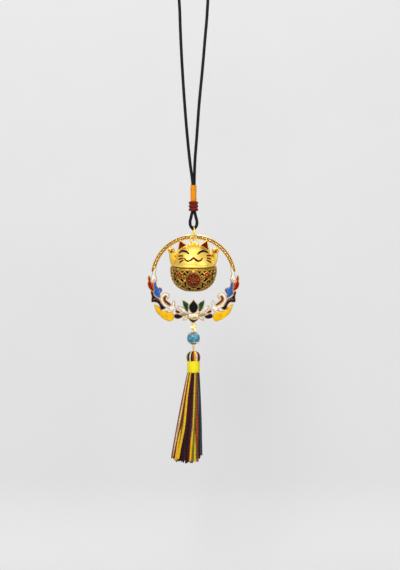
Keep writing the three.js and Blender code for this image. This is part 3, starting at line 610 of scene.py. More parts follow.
class Skin:
    """Points, faces and lay of one mesh piece while it is being drawn."""

    def __init__(self) -> None:
        """Starts with nothing drawn."""
        self.points: Route = []
        self.faces: list[list[int]] = []
        self.lays: list[tuple[float, float]] = []
        self.tones: list[int] = []

    def face(self, corners: Sequence[int], tone: int, lay: Sequence[tuple[float, float]]) -> None:
        """Adds one face with its material number and lay."""
        self.faces.append(list(corners))
        self.lays.extend(lay)
        self.tones.append(tone)

    def grid(self, rows: Sequence[Route], around: bool = True, along: bool = False,
             tone: int | Sequence[int] = 0) -> None:
        """Adds a net of four-sided faces.

        Args:
            rows: Rows of points, all of one length.
            around: Whether each row closes into a ring.
            along: Whether the last row joins the first.
            tone: The material number, or one for each column.
        """
        first = len(self.points)
        width = len(rows[0])
        tones = [tone] * width if isinstance(tone, int) else tone
        reach = [0.0]
        for row, after in zip(rows, [*rows[1:], rows[0]]):
            reach.append(reach[-1] + (after[0] - row[0]).length)
            self.points.extend(row)
        for i in range(len(rows) if along else len(rows) - 1):
            lower = first + i * width
            upper = first + ((i + 1) % len(rows)) * width
            for j in range(width if around else width - 1):
                after = (j + 1) % width
                lay = [(reach[i], j / width), (reach[i], (j + 1) / width)]
                lay += [(reach[i + 1], (j + 1) / width), (reach[i + 1], j / width)]
                self.face((lower + j, lower + after, upper + after, upper + j), tones[j], lay)

    def cap(self, ring: Route, tone: int = 0) -> None:
        """Closes a ring of points with one face."""
        first = len(self.points)
        self.points.extend(ring)
        self.face(range(first, first + len(ring)), tone, [(point.x, point.z) for point in ring])

    def tube(self, route: Route, radius: float | Sequence[float], sides: int, closed: bool = False,
             tone: int = 0) -> None:
        """Adds a round tube along a route.

        Args:
            route: The middle line.
            radius: One radius, or one for each point.
            sides: How many points go round the tube.
            closed: Whether the tube runs back into its start.
            tone: The material number.
        """
        sizes = [radius] * len(route) if isinstance(radius, float) else radius
        rows = []
        for spot, size, (side, rise) in zip(route, sizes, carried_frames(route, closed)):
            turns = full_turn(sides)
            rows.append([spot + size * (math.cos(t) * side + math.sin(t) * rise) for t in turns])
        self.grid(rows, True, closed, tone)
        if not closed:
            self.cap(rows[0], tone)
            self.cap(rows[-1], tone)

    def turned(self, profile: Sequence[tuple[float, float]], sides: int, place: Matrix | None = None,
               tone: int = 0, along: bool = False) -> None:
        """Adds a shape turned about Z.

        Args:
            profile: Pairs of radius and height.
            sides: How many points go round.
            place: Where the shape goes, at the origin when left out.
            tone: The material number.
            along: Whether the profile closes into a loop.
        """
        move = place or Matrix.Identity(4)
        rows = []
        turns = full_turn(sides)
        for radius, height in profile:
            rows.append([move @ Vector((radius * math.cos(t), radius * math.sin(t), height)) for t in turns])
        self.grid(rows, True, along, tone)

    def ball(self, centre: Vector, radii: float | Sequence[float], sides: int) -> None:
        """Adds a closed round body with one radius, or with its own along each axis."""
        sizes = [radii] * 3 if isinstance(radii, float) else radii
        steps = max(6, sides // 2)
        profile = []
        for k in range(steps + 1):
            turn = -math.pi / 2 + math.pi * k / steps
            profile.append((max(math.cos(turn), 1e-4), math.sin(turn)))
        place = Matrix.Translation(centre) @ Matrix.Diagonal((*sizes, 1.0))
        self.turned(profile, sides, place)

    def plate(self, outline: Route, levels: Sequence[tuple[float, float]]) -> None:
        """Adds a closed plate in the XZ plane, through rings that grow or shrink at each level.

        Args:
            outline: The plate's edge.
            levels: Pairs of growth outwards and place along Y, from the back to the front.
        """
        rings = [at_depth(grown(outline, growth), depth) for growth, depth in levels]
        self.grid(rings)
        for ring in (rings[0], rings[-1]):
            self.fill(ring, lambda _, depth=ring[0].y: depth)

    def fill(self, outline: Route, level: Callable[[float], float], spacing: float = 0.0) -> None:
        """Adds a face in the XZ plane inside an outline, domed by the distance from its edge.

        Args:
            outline: The face's edge.
            level: The place along Y at a distance from the edge.
            spacing: Distance between the points inside, none where it is 0.
        """
        edge = [Vector((p.x, p.z)) for p in outline]
        parts = 4
        tree = KDTree(parts * len(edge))
        for i, (first, second) in enumerate(zip(edge, [*edge[1:], edge[0]])):
            for k in range(parts):
                tree.insert(first.lerp(second, k / parts).to_3d(), parts * i + k)
        tree.balance()
        inner = []
        if spacing:
            clear = 0.7 * spacing
            inner = [p for p in points_inside(edge, spacing) if tree.find(p.to_3d())[2] > clear]
        found = delaunay_2d_cdt([*edge, *inner], [], [list(range(len(edge)))], 1, 1e-9)
        first = len(self.points)
        for spot in found[0]:
            self.points.append(Vector((spot.x, level(tree.find(spot.to_3d())[2]), spot.y)))
        for face in found[2]:
            self.face([first + i for i in face], 0, [tuple(found[0][i]) for i in face])

    def build(self, name: str, *finishes: Finish, place: Matrix | None = None,
              crease: float = CREASE) -> bpy.types.Object:
        """Makes the object.

        Args:
            name: The piece's name.
            *finishes: Finishes in the order of the material numbers.
            place: A transform that goes into the points.
            crease: Edges that bend by more than this many degrees stay sharp.

        Returns:
            The object, linked to the scene.
        """
        mesh = bpy.data.meshes.new(name)
        mesh.from_pydata([tuple(place @ p if place else p) for p in self.points], [], self.faces)
        layer = mesh.uv_layers.new(name="lay")
        layer.data.foreach_set("uv", [share for pair in self.lays for share in pair])
        mesh.polygons.foreach_set("material_index", self.tones)
        for finish in finishes:
            mesh.materials.append(finish.material())
        cleaner = bmesh.new()
        cleaner.from_mesh(mesh)
        bmesh.ops.remove_doubles(cleaner, verts=cleaner.verts, dist=1e-7)
        bmesh.ops.recalc_face_normals(cleaner, faces=cleaner.faces)
        cleaner.to_mesh(mesh)
        cleaner.free()
        mesh.polygons.foreach_set("use_smooth", [True] * len(mesh.polygons))
        mesh.set_sharp_from_angle(angle=math.radians(crease))
        piece = bpy.data.objects.new(name, mesh)
        bpy.context.scene.collection.objects.link(piece)
        return piece


def points_inside(edge: Sequence[Vector], spacing: float) -> list[Vector]:
    """Returns a square pattern of points inside a closed flat outline.

    Args:
        edge: The outline's points.
        spacing: Distance from point to point.

    Returns:
        The points that lie inside.
    """
    low = Vector((min(p.x for p in edge), min(p.y for p in edge)))
    high = Vector((max(p.x for p in edge), max(p.y for p in edge)))
    inside = []
    for row in range(1, int((high.y - low.y) / spacing) + 1):
        height = low.y + row * spacing
        crossings = []
        for first, second in zip(edge, [*edge[1:], edge[0]]):
            if (first.y > height) != (second.y > height):
                crossings.append(first.x + (second.x - first.x) * (height - first.y) / (second.y - first.y))
        crossings.sort()
        for start, end in zip(crossings[::2], crossings[1::2]):
            count = int((end - start) / spacing)
            inside.extend(Vector((start + (k + 0.5) * spacing, height)) for k in range(count))
    return inside


def apply_modifiers(piece: bpy.types.Object) -> None:
    """Puts a piece's modifiers into its mesh."""
    graph = bpy.context.evaluated_depsgraph_get()
    shaped = bpy.data.meshes.new_from_object(piece.evaluated_get(graph))
    piece.modifiers.clear()
    piece.data = shaped
    shaped.polygons.foreach_set("use_smooth", [True] * len(shaped.polygons))


def cast_in_one(piece: bpy.types.Object, grain: float, rounds: int) -> None:
    """Melts overlapping closed bodies into one cast body with soft edges.

    Args:
        piece: The piece to change.
        grain: The voxel size.
        rounds: How many rounds of smoothing follow.
    """
    melt = piece.modifiers.new("melt", "REMESH")
    melt.mode = "VOXEL"
    melt.voxel_size = grain
    soften = piece.modifiers.new("soften", "SMOOTH")
    soften.factor = 0.5
    soften.iterations = rounds
    apply_modifiers(piece)


def grown(outline: Route, by: float) -> Route:
    """Moves a closed outline in the XZ plane outwards, or inwards where by is negative.

    Args:
        outline: The points of the outline.
        by: The distance.

    Returns:
        The moved points.
    """
    count = len(outline)
    area = sum(a.x * b.z - b.x * a.z for a, b in zip(outline, [*outline[1:], outline[0]]))
    turn = 1.0 if area > 0 else -1.0
    sharpest = 0.55
    moved = []
    for i, point in enumerate(outline):
        before = (point - outline[i - 1]).normalized()
        after = (outline[(i + 1) % count] - point).normalized()
        outward = Vector((before.z + after.z, 0, -before.x - after.x)) * turn
        lean = max(outward.length / 2, sharpest)
        moved.append(point + outward.normalized() * (by / lean))
    return moved


def front_outline(node: bpy.types.Object) -> Route:
    """Reads the edge of a flat CAD piece's front face.

    Args:
        node: The CAD object.

    Returns:
        The points of the edge, in order.
    """
    mesh = bmesh.new()
    mesh.from_mesh(node.data)
    bmesh.ops.remove_doubles(mesh, verts=mesh.verts, dist=1e-6)
    mesh.normal_update()
    square_on = -0.9
    front = {face for face in mesh.faces if face.normal.y < square_on}
    beside: dict[bmesh.types.BMVert, list[bmesh.types.BMVert]] = {}
    for edge in mesh.edges:
        if sum(face in front for face in edge.link_faces) == 1:
            first, second = edge.verts
            beside.setdefault(first, []).append(second)
            beside.setdefault(second, []).append(first)
    start = next(iter(beside))
    walk = [start, beside[start][0]]
    while walk[-1] is not start:
        steps = [vertex for vertex in beside[walk[-1]] if vertex is not walk[-2]]
        walk.append(steps[0])
    points = [vertex.co.copy() for vertex in walk[:-1]]
    mesh.free()
    return points


def softened(outline: Route, tip: float = 52.0, per_span: int = 3) -> Route:
    """Smooths a closed outline between its sharp tips.

    Args:
        outline: The points of the outline.
        tip: A bend of more than this many degrees stays sharp.
        per_span: Samples for each span.

    Returns:
        The smooth outline.
    """
    count = len(outline)
    tips = []
    for i, point in enumerate(outline):
        before = point - outline[i - 1]
        after = outline[(i + 1) % count] - point
        if math.degrees(before.angle(after)) > tip:
            tips.append(i)
    if not tips:
        return smooth_route(outline, per_span, closed=True)
    smooth: Route = []
    for first, second in zip(tips, [*tips[1:], tips[0] + count]):
        run = [outline[k % count] for k in range(first, second + 1)]
        smooth.extend(smooth_route(run, per_span)[:-1])
    return smooth


@dataclass(frozen=True)
class Winding:
    """A tight winding of thread with an oval cross-section.

    Its half widths are those at the thread's crest, the groove between two turns is a share of the
    pitch, and tuck tells how far the winding draws in at a share of its length.
    """

    top: float
    length: float
    half: tuple[float, float]
    pitch: float
    groove: float
    tuck: Callable[[float], float] | None = None
    sides: int = 56
    rows_per_turn: int = 6
    end_reach: float = 0.5
    end_tuck: float = 0.6
    hem: float = 0.75

    def dip(self, share: float, around: float) -> float:
        """Returns how far the thread lies below its crest.

        Args:
            share: Share of the winding's length.
            around: Share of a turn.

        Returns:
            The depth.
        """
        end = max(0.0, 1.0 - min(share, 1.0 - share) * self.length / (self.end_reach * self.pitch))
        phase = share * self.length / self.pitch + around
        ridge = self.groove * self.pitch * (1 - abs(math.sin(math.pi * phase)))
        return ridge + (self.tuck(share) if self.tuck else 0.0) + self.end_tuck * self.pitch * end

    def draw(self) -> Skin:
        """Draws the winding."""
        steps = round(self.length / self.pitch * self.rows_per_turn)
        rows = []
        for share in [k / steps for k in range(steps + 1)]:
            height = self.top - self.length + share * self.length
            row = []
            for j, turn in enumerate(full_turn(self.sides)):
                wide, deep = [half - self.dip(share, j / self.sides) for half in self.half]
                row.append(Vector((wide * math.cos(turn), deep * math.sin(turn), height)))
            rows.append(row)
        for row in (rows[-1], rows[0]):
            rows.append([Vector((p.x * self.hem, p.y * self.hem, p.z)) for p in row])
        skin = Skin()
        skin.grid(rows, True, True)
        return skin


@dataclass
class SubAssembly:
    """One sub-assembly: its body in the frame and the CAD nodes it stands on."""

    nodes: dict[str, bpy.types.Object]
    body: str = "cord"

    @property
    def place(self) -> Matrix | None:
        """The transform that goes into the points of its skins, none as a rule."""
        return None

    def set_in(self, piece: bpy.types.Object, slot: Slot, replaced: str) -> None:
        """Lets a piece ride its body and hides the CAD node it stands for.

        Args:
            piece: The new piece.
            slot: The record's finish slot, not used.
            replaced: The CAD node that the piece stands for, empty where there is none.
        """
        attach(piece, self.body)
        if replaced:
            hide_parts(replaced)
        LOG.info("%s rides %s", piece.name, self.body)

    def add(self, name: str, skin: Skin, *finishes: Finish, replaced: str = "",
            crease: float = CREASE) -> bpy.types.Object:
        """Builds a skin and sets it in.

        Args:
            name: The piece's name.
            skin: What was drawn.
            *finishes: Finishes in the order of the material numbers, the first with the piece's slot.
            replaced: The CAD node that the piece stands for, empty where there is none.
            crease: Edges that bend by more than this many degrees stay sharp.

        Returns:
            The piece.
        """
        piece = skin.build(name, *finishes, place=self.place, crease=crease)
        self.set_in(piece, finishes[0].slot, replaced)
        return piece

    def dress_node(self, name: str, finish: Finish) -> None:
        """Gives a CAD node that stays in sight its finish."""
        node = self.nodes[name]
        node.data.materials.clear()
        node.data.materials.append(finish.material())
        LOG.info("%s keeps its CAD shape", name)

    def build(self) -> None:
        """Builds and dresses the pieces."""
        raise NotImplementedError


@dataclass
class HangingCord(SubAssembly):
    """The doubled black cord with its orange sleeve and red whipping.

    The lower bends are shares of the loop's side, places along Y in millimetres and shares of its length.
    """

    diameter: float = 2.0 * MM
    cord_sides: int = 14
    cord_samples: int = 10
    loop_radius: float = 9.2 * MM
    loop_angles: tuple[float, ...] = (180, 135, 90, 45, 0)
    strand_side: float = 0.52 * MM
    strand_depth: float = 0.9 * MM
    neck: float = 1.0 * MM
    left_strand: Drawing = (
        (-2.3, -0.4, -120.5), (-4.1, -0.2, -103), (-5.9, 0, -81), (-7.3, 0, -60), (-8.4, 0, -39),
        (-9, 0, -22))
    right_strand: Drawing = (
        (9, 0, -22), (7.6, 0, -39), (5.8, 0, -60), (3.8, 0, -81), (2.2, 0.2, -103), (0.9, 0.4, -120.5))
    sleeve_top: float = -135.5 * MM
    sleeve_length: float = 10.6 * MM
    sleeve_half: tuple[float, float] = (2.06 * MM, 2.68 * MM)
    sleeve_pitch: float = 0.42 * MM
    whipping_length: float = 6.5 * MM
    whipping_half: tuple[float, float] = (3.26 * MM, 3.88 * MM)
    whipping_bands: int = 3
    whipping_pitch: float = 0.36 * MM
    whipping_tuck: float = 0.95 * MM
    whipping_swell: float = 0.6
    groove: float = 0.42
    lower_loop_length: float = 11.6 * MM
    lower_loop_side: float = 2.3 * MM
    lower_bends: Drawing = ((0.62, -0.5, 0.28), (1.0, -0.1, 0.64), (0.74, 0.0, 0.87))
    halves_gap: float = 0.3 * MM

    @staticmethod
    def half_round(points: Sequence[Vector]) -> Route:
        """Turns points half round the vertical axis."""
        return [Vector((-p.x, -p.y, p.z)) for p in points]

    def upper_route(self) -> Route:
        """Returns the hanging loop's points, from the left strand over the top to the right."""
        middle = self.sleeve_top - self.sleeve_length / 2 + self.halves_gap / 2
        heights = (middle, self.sleeve_top + self.neck)
        start = [Vector((-self.strand_side, -self.strand_depth, height)) for height in heights]
        over = []
        for angle in self.loop_angles:
            turn = math.radians(angle)
            rise = self.diameter / 2 - self.loop_radius + self.loop_radius * math.sin(turn)
            over.append(Vector((self.loop_radius * math.cos(turn), 0, rise)))
        strands = [*in_metres(self.left_strand), *over, *in_metres(self.right_strand)]
        return [*start, *strands, *self.half_round(start[::-1])]

    def lower_route(self) -> Route:
        """Returns the lower loop's points, down from the sleeve, through the ring and back."""
        middle = self.sleeve_top - self.sleeve_length / 2 - self.halves_gap / 2
        sleeve_bottom = self.sleeve_top - self.sleeve_length
        foot = sleeve_bottom - self.whipping_length
        heights = (middle, sleeve_bottom, foot + self.neck)
        down = [Vector((-self.strand_side, -self.strand_depth, height)) for height in heights]
        for wide, forward, share in self.lower_bends:
            height = foot - share * self.lower_loop_length
            down.append(Vector((-wide * self.lower_loop_side, forward * MM, height)))
        lowest = Vector((0, 0, foot - self.lower_loop_length))
        return [*down, lowest, *self.half_round(down[::-1])]

    def build_cord(self, name: str, points: Route, leaves: Vector) -> None:
        """Args:
            name: The CAD node that it stands for.
            points: The route's points.
            leaves: Where the cord comes out of its winding, not used.
        """
        route = smooth_route(points, self.cord_samples)
        skin = Skin()
        skin.tube(route, self.diameter / 2, self.cord_sides)
        piece = self.add(f"{name}_braid", skin, BLACK_CORD, replaced=name)

    def between_bands(self, share: float) -> float:
        """Returns how far the whipping draws in between its bands."""
        swell = abs(math.sin(math.pi * self.whipping_bands * share)) ** self.whipping_swell
        return self.whipping_tuck * (1 - swell)

    def build(self) -> None:
        """Builds both cords, the sleeve and the whipping."""
        upper = self.upper_route()
        lower = self.lower_route()
        self.build_cord("upper_cord", upper, upper[1])
        self.build_cord("lower_cord", lower, lower[2])
        sleeve = Winding(
            self.sleeve_top, self.sleeve_length, self.sleeve_half, self.sleeve_pitch, self.groove)
        self.add("sleeve_winding", sleeve.draw(), ORANGE_THREAD, replaced="cord_sleeve")
        whipping = Winding(
            self.sleeve_top - self.sleeve_length, self.whipping_length, self.whipping_half,
            self.whipping_pitch, self.groove, self.between_bands)
        self.add("whipping_bands", whipping.draw(), RED_THREAD, replaced="red_whipping")


@dataclass
class JumpRing(SubAssembly):
    """The gold jump ring that carries hoop and cat."""

    body: str = "ring"
    centre: float = -167.15 * MM
    radius: float = 4.6 * MM
    wire: float = 1.0 * MM
    wire_sides: int = 16
    steps: int = 72
    yaw: float = math.radians(8)
    slit_at: float = math.radians(45)
    slit: float = math.radians(3)
    cut_end: float = 0.86

    def build(self) -> None:
        """Builds the ring's wire with its slit."""
        place = Matrix.Translation((0, 0, self.centre)) @ Matrix.Rotation(self.yaw, 4, "Z")
        route = []
        for k in range(self.steps + 1):
            turn = self.slit_at + self.slit / 2 + k / self.steps * (math.tau - self.slit)
            route.append(place @ Vector((0, -self.radius * math.cos(turn), self.radius * math.sin(turn))))
        sizes = [self.wire / 2] * len(route)
        sizes[0] = sizes[-1] = self.cut_end * self.wire / 2
        skin = Skin()
        skin.tube(route, sizes, self.wire_sides)
        self.add("ring_wire", skin, BRIGHT_GOLD, replaced="jump_ring")


@dataclass
class HoopWreath(SubAssembly):
    """The gold hoop, its engraved band and the enamelled wreath below.

    Cells and curls are drawn in millimetres from the hoop's centre, across and up.
    """

    body: str = "hoop"
    centre: float = -196.3705 * MM
    radius: float = 28.2 * MM
    width: float = 2.7 * MM
    depth: float = 2.4 * MM
    end: float = math.radians(8)
    edge: float = 0.45 * MM
    channel: float = 0.35 * MM
    soft: float = 0.2 * MM
    band_steps: int = 150
    band_crease: float = 30.0
    leaf_count: int = 58
    leaf_reach: float = 0.42 * MM
    leaf_slant: float = 0.013
    leaf_proud: float = 0.02 * MM
    leaf_radii: tuple[float, ...] = (0.08 * MM, 0.2 * MM, 0.25 * MM, 0.2 * MM, 0.08 * MM)
    grain: float = 0.2 * MM
    plate_back: float = 0.8 * MM
    plate_front: float = -1.25 * MM
    plate_border: float = 0.36 * MM
    back_bevel: tuple[float, float] = (0.18 * MM, 0.2 * MM)
    front_bevel: tuple[float, float] = (0.12 * MM, 0.15 * MM)
    plate_crease: float = 50.0
    wire: float = 0.21 * MM
    wire_grown: float = 0.14 * MM
    wire_forward: float = 0.25 * MM
    wire_crease: float = 75.0
    wire_sides: int = 8
    back_rim: float = 0.17 * MM
    fill_grown: float = 0.05 * MM
    fill_root: float = 0.05 * MM
    fill_crease: float = 60.0
    shore_forward: float = 0.28 * MM
    shore_reach: float = 0.4 * MM
    crown_reach: float = 1.6 * MM
    enamel_front: float = -1.7 * MM
    enamel_crown: float = 0.08 * MM
    enamel_net: float = 0.34 * MM
    eye_drop: float = 30.6 * MM
    eye_radius: float = 1.1 * MM
    eye_wire: float = 0.7 * MM
    curl_wire: float = 0.14 * MM
    curl_proud: float = 0.06 * MM
    curl_samples: int = 6
    cells: dict[str, str] = field(default_factory=lambda: {
        "white_branch": "white", "red_flame": "red", "blue_cloud": "blue", "navy_bud": "navy",
        "white_scroll": "white", "red_scroll": "maroon", "yellow_cloud": "yellow", "red_leaf": "maroon",
        "navy_lobe": "navy", "lilac_petal": "lilac", "pale_leaf": "pale green", "leaflet": "lilac",
        "green_petal": "green"})
    middle_cells: dict[str, str] = field(default_factory=lambda: {
        "black_petal": "black", "white_knot": "white", "teal_drop": "teal", "navy_drop": "navy"})
    redrawn: dict[str, Drawing] = field(default_factory=lambda: {
        "green_petal": (
            (7.05, -15.2), (5.7, -15.9), (4.4, -16.7), (3.45, -17.7), (3.65, -18.9), (3.6, -20.5),
            (3.55, -21.9), (4.1, -22.4), (5.0, -21.5), (6.0, -19.7), (6.75, -17.6)),
        "teal_drop": (
            (1.6, -27.0), (0.8, -26.58), (0.0, -26.45), (-0.8, -26.58), (-1.6, -27.0), (-0.8, -27.4),
            (0.0, -27.52), (0.8, -27.4)),
        "navy_drop": (
            (-3.25, -26.9), (-2.3, -27.4), (-1.2, -27.88), (0.0, -28.08), (1.2, -27.88), (2.3, -27.4),
            (3.25, -26.9), (1.65, -28.75), (0.0, -29.65), (-1.65, -28.75))})
    curls: tuple[Drawing, ...] = (
        ((17.2, -23.8), (18.3, -24.4), (18.5, -25.4), (17.6, -26.0), (16.7, -25.5)),
        ((23.0, -15.1), (23.9, -14.3), (25.2, -14.0), (26.3, -14.7)),
        ((24.5, -5.0), (23.6, -6.9), (22.3, -8.1), (22.6, -9.7), (23.8, -9.6)),
        ((26.9, -7.0), (27.5, -4.6), (28.2, -2.4)))

    def spot(self, reach: float, turn: float, forward: float) -> Vector:
        """Returns a point at a radius and turn from the hoop's centre."""
        return Vector((reach * math.cos(turn), forward, self.centre + reach * math.sin(turn)))

    def build_band(self) -> None:
        """Builds the band: rounded edges, a sunk channel front and back, and a chased row in it."""
        outside = self.radius
        inside = self.radius - self.width
        front = self.depth / 2
        sunk = front - self.channel
        half = [
            (outside, front - self.soft), (outside - self.soft, front), (outside - self.edge, front),
            (outside - self.edge - self.soft, sunk), (inside + self.edge + self.soft, sunk),
            (inside + self.edge, front), (inside + self.soft, front), (inside, front - self.soft)]
        profile = [(r, -y) for r, y in half] + [(r, y) for r, y in reversed(half)]
        sweep = math.pi - 2 * self.end
        turns = [self.end + sweep * k / self.band_steps for k in range(self.band_steps + 1)]
        band = Skin()
        rows = [[self.spot(r, turn, y) for r, y in profile] for turn in turns]
        floors = (3, len(profile) - 5)
        band.grid(rows, tone=[int(column in floors) for column in range(len(profile))])
        band.cap(rows[0])
        band.cap(rows[-1])
        self.add("hoop_band", band, BRIGHT_GOLD, AGED_GOLD, replaced="hoop_frame", crease=self.band_crease)
        self.build_chasing(sunk, (outside + inside) / 2)

    def build_chasing(self, sunk: float, middle: float) -> None:
        """Builds the chased row of slanting leaves and grains in the band's channel.

        Args:
            sunk: Distance of the channel's floor from the middle plane.
            middle: Radius of the channel's middle line.
        """
        skin = Skin()
        sweep = math.pi - 2 * self.end
        for k in range(self.leaf_count):
            turn = self.end + sweep * (k + 0.5) / self.leaf_count
            hand = 1 if k % 2 else -1
            for face in (-1, 1):
                leaf = []
                for step in (-1.0, -0.5, 0.0, 0.5, 1.0):
                    reach = middle + hand * self.leaf_reach * step
                    forward = face * (sunk + self.leaf_proud)
                    leaf.append(self.spot(reach, turn + self.leaf_slant * step, forward))
                skin.tube(leaf, self.leaf_radii, 8)
                between = turn + 0.5 * sweep / self.leaf_count
                skin.ball(self.spot(middle, between, face * sunk), self.grain, 10)
        self.add("hoop_chasing", skin, BRIGHT_GOLD)

    def build_cells(self) -> None:
        """Builds a gold plate, a raised wire and a domed enamel fill for every cell."""
        plates = Skin()
        wires = Skin()
        names = dict(self.middle_cells)
        for stem, colour in self.cells.items():
            names[f"{stem}_left"] = colour
            names[f"{stem}_right"] = colour
        border = self.plate_border
        levels = [
            (border - self.back_bevel[0], self.plate_back),
            (border, self.plate_back - self.back_bevel[1]),
            (border, self.plate_front + self.front_bevel[1]),
            (border - self.front_bevel[0], self.plate_front)]
        for name, colour in names.items():
            outline = softened(self.cell_edge(name))
            plates.plate(outline, levels)
            lip = at_depth(grown(outline, self.wire_grown), self.plate_front - self.wire_forward)
            wires.tube(lip, self.wire, self.wire_sides, closed=True)
            rim = at_depth(grown(outline, -self.back_rim), self.plate_back)
            wires.tube(rim, self.back_rim, self.wire_sides, closed=True)
            fill = self.enamel_fill(grown(outline, self.fill_grown))
            self.add(f"fill_{name}", fill, ENAMELS[colour], replaced=name, crease=self.fill_crease)
        self.add("wreath_plates", plates, WIRE_GOLD, crease=self.plate_crease)
        self.add("wreath_wires", wires, WIRE_GOLD, crease=self.wire_crease)

    def cell_edge(self, name: str) -> Route:
        """Returns a cell's edge: its own drawing where it has one, or else the CAD's."""
        stem, _, side = name.rpartition("_")
        drawing = self.redrawn.get(name) or self.redrawn.get(stem)
        if not drawing:
            return front_outline(self.nodes[name])
        return self.on_plate(drawing, Side.LEFT if side == "left" else Side.RIGHT, self.plate_front)

    def on_plate(self, drawing: Drawing, side: Side, depth: float) -> Route:
        """Returns the points of a drawing on one half of the wreath, at a place along Y."""
        return [Vector((side.value * x * MM, depth, self.centre + z * MM)) for x, z in drawing]

    def build_curls(self) -> None:
        """Builds the thin wires that lie in the larger cells."""
        skin = Skin()
        for drawing in self.curls:
            for side in Side:
                points = self.on_plate(drawing, side, self.enamel_front - self.curl_proud)
                skin.tube(smooth_route(points, self.curl_samples), self.curl_wire, self.wire_sides)
        self.add("wreath_curls", skin, AGED_GOLD)

    def enamel_fill(self, outline: Route) -> Skin:
        """Draws the enamel of one cell: a low cushion that rises from its wire.

        Args:
            outline: The cell's edge.

        Returns:
            The drawn fill.
        """
        shore = self.plate_front - self.shore_forward

        def cushion(distance: float) -> float:
            """Returns the place of the enamel's face at a distance from the wire."""
            near = min(distance / self.shore_reach, 1.0)
            far = min(distance / self.crown_reach, 1.0)
            return shore + (self.enamel_front - shore) * (1 - (1 - near) ** 2) - self.enamel_crown * far

        fill = Skin()
        fill.grid([at_depth(outline, depth) for depth in (self.plate_front + self.fill_root, shore)])
        fill.fill(outline, cushion, self.enamel_net)
        return fill

    def build_eye(self) -> None:
        """Builds the eye below the wreath that carries the drop."""
        middle = Vector((0, 0, self.centre - self.eye_drop))
        ring = circle(middle, Vector((self.eye_radius, 0, 0)), Vector((0, 0, self.eye_radius)), 32)
        skin = Skin()
        skin.tube(ring, self.eye_wire / 2, 12, closed=True)
        self.add("wreath_eye", skin, BRIGHT_GOLD)

    def build(self) -> None:
        """Builds band, wreath and eye."""
        self.build_band()
        self.build_cells()
        self.build_curls()
        self.build_eye()


@dataclass
class CatForm:
    """Sizes and place that the cat's head and body share."""

    origin: tuple[float, float, float] = (0, -0.5694 * MM, -188.4091 * MM)
    lean: float = math.radians(8)
    head_radius: float = 13.8 * MM
    body_radius: float = 15.2 * MM
    body_depth: float = 15.1 * MM
    body_fullness: float = 2.4
    bulge: float = -2.0 * MM
    hinge_back: float = 16.6 * MM
    knuckle_radius: float = 1.1 * MM
    knuckle_length: float = 2.4 * MM
    knuckle_gap: float = 0.3 * MM
    knuckle_sides: int = 24

    @property
    def place(self) -> Matrix:
        """The cat's place and tilt."""
        return Matrix.Translation(self.origin) @ Matrix.Rotation(self.lean, 4, "X")

    def on_dome(self, across: float, height: float, proud: float) -> Vector:
        """Returns a point in front of the dome, in the cat's own tilt."""
        reach = self.head_radius + proud
        return Vector((across, -math.sqrt(max(reach ** 2 - across ** 2 - height ** 2, 0.0)), height))

    def bowl_way(self, turn: float, drop: float) -> Vector:
        """Returns the direction at a turn from the front and an angle below the bowl's widest line."""
        level = math.cos(drop)
        return Vector((math.sin(turn) * level, -math.cos(turn) * level, -math.sin(drop)))

    def on_bowl(self, turn: float, drop: float, proud: float = 0.0) -> Vector:
        """Returns a point on the bowl at a turn from the front and an angle below its widest line."""
        return self.along_way(self.bowl_way(turn, drop), proud)

    def along_way(self, way: Vector, proud: float) -> Vector:
        """Returns where a direction from the bowl's middle meets its outside."""
        level = math.hypot(way.x, way.y) / (self.body_radius + proud)
        deep = abs(way.z) / (self.body_depth + proud)
        reach = (level ** self.body_fullness + deep ** self.body_fullness) ** (-1 / self.body_fullness)
        return way * reach + Vector((0, 0, self.bulge))

    def add_knuckle(self, skin: Skin, across: float) -> Vector:
        """Adds a knuckle at a place along the hinge and returns its middle."""
        middle = Vector((across, self.hinge_back, 0))
        half = Vector((self.knuckle_length / 2, 0, 0))
        skin.tube([middle - half, middle, middle + half], self.knuckle_radius, self.knuckle_sides)
        return middle


@dataclass
class CatAssembly(SubAssembly):
    """A part of the cat, drawn in the cat's own tilt."""

    form: CatForm = field(default_factory=CatForm)

    @property
    def place(self) -> Matrix:
        """The cat's place and tilt."""
        return self.form.place


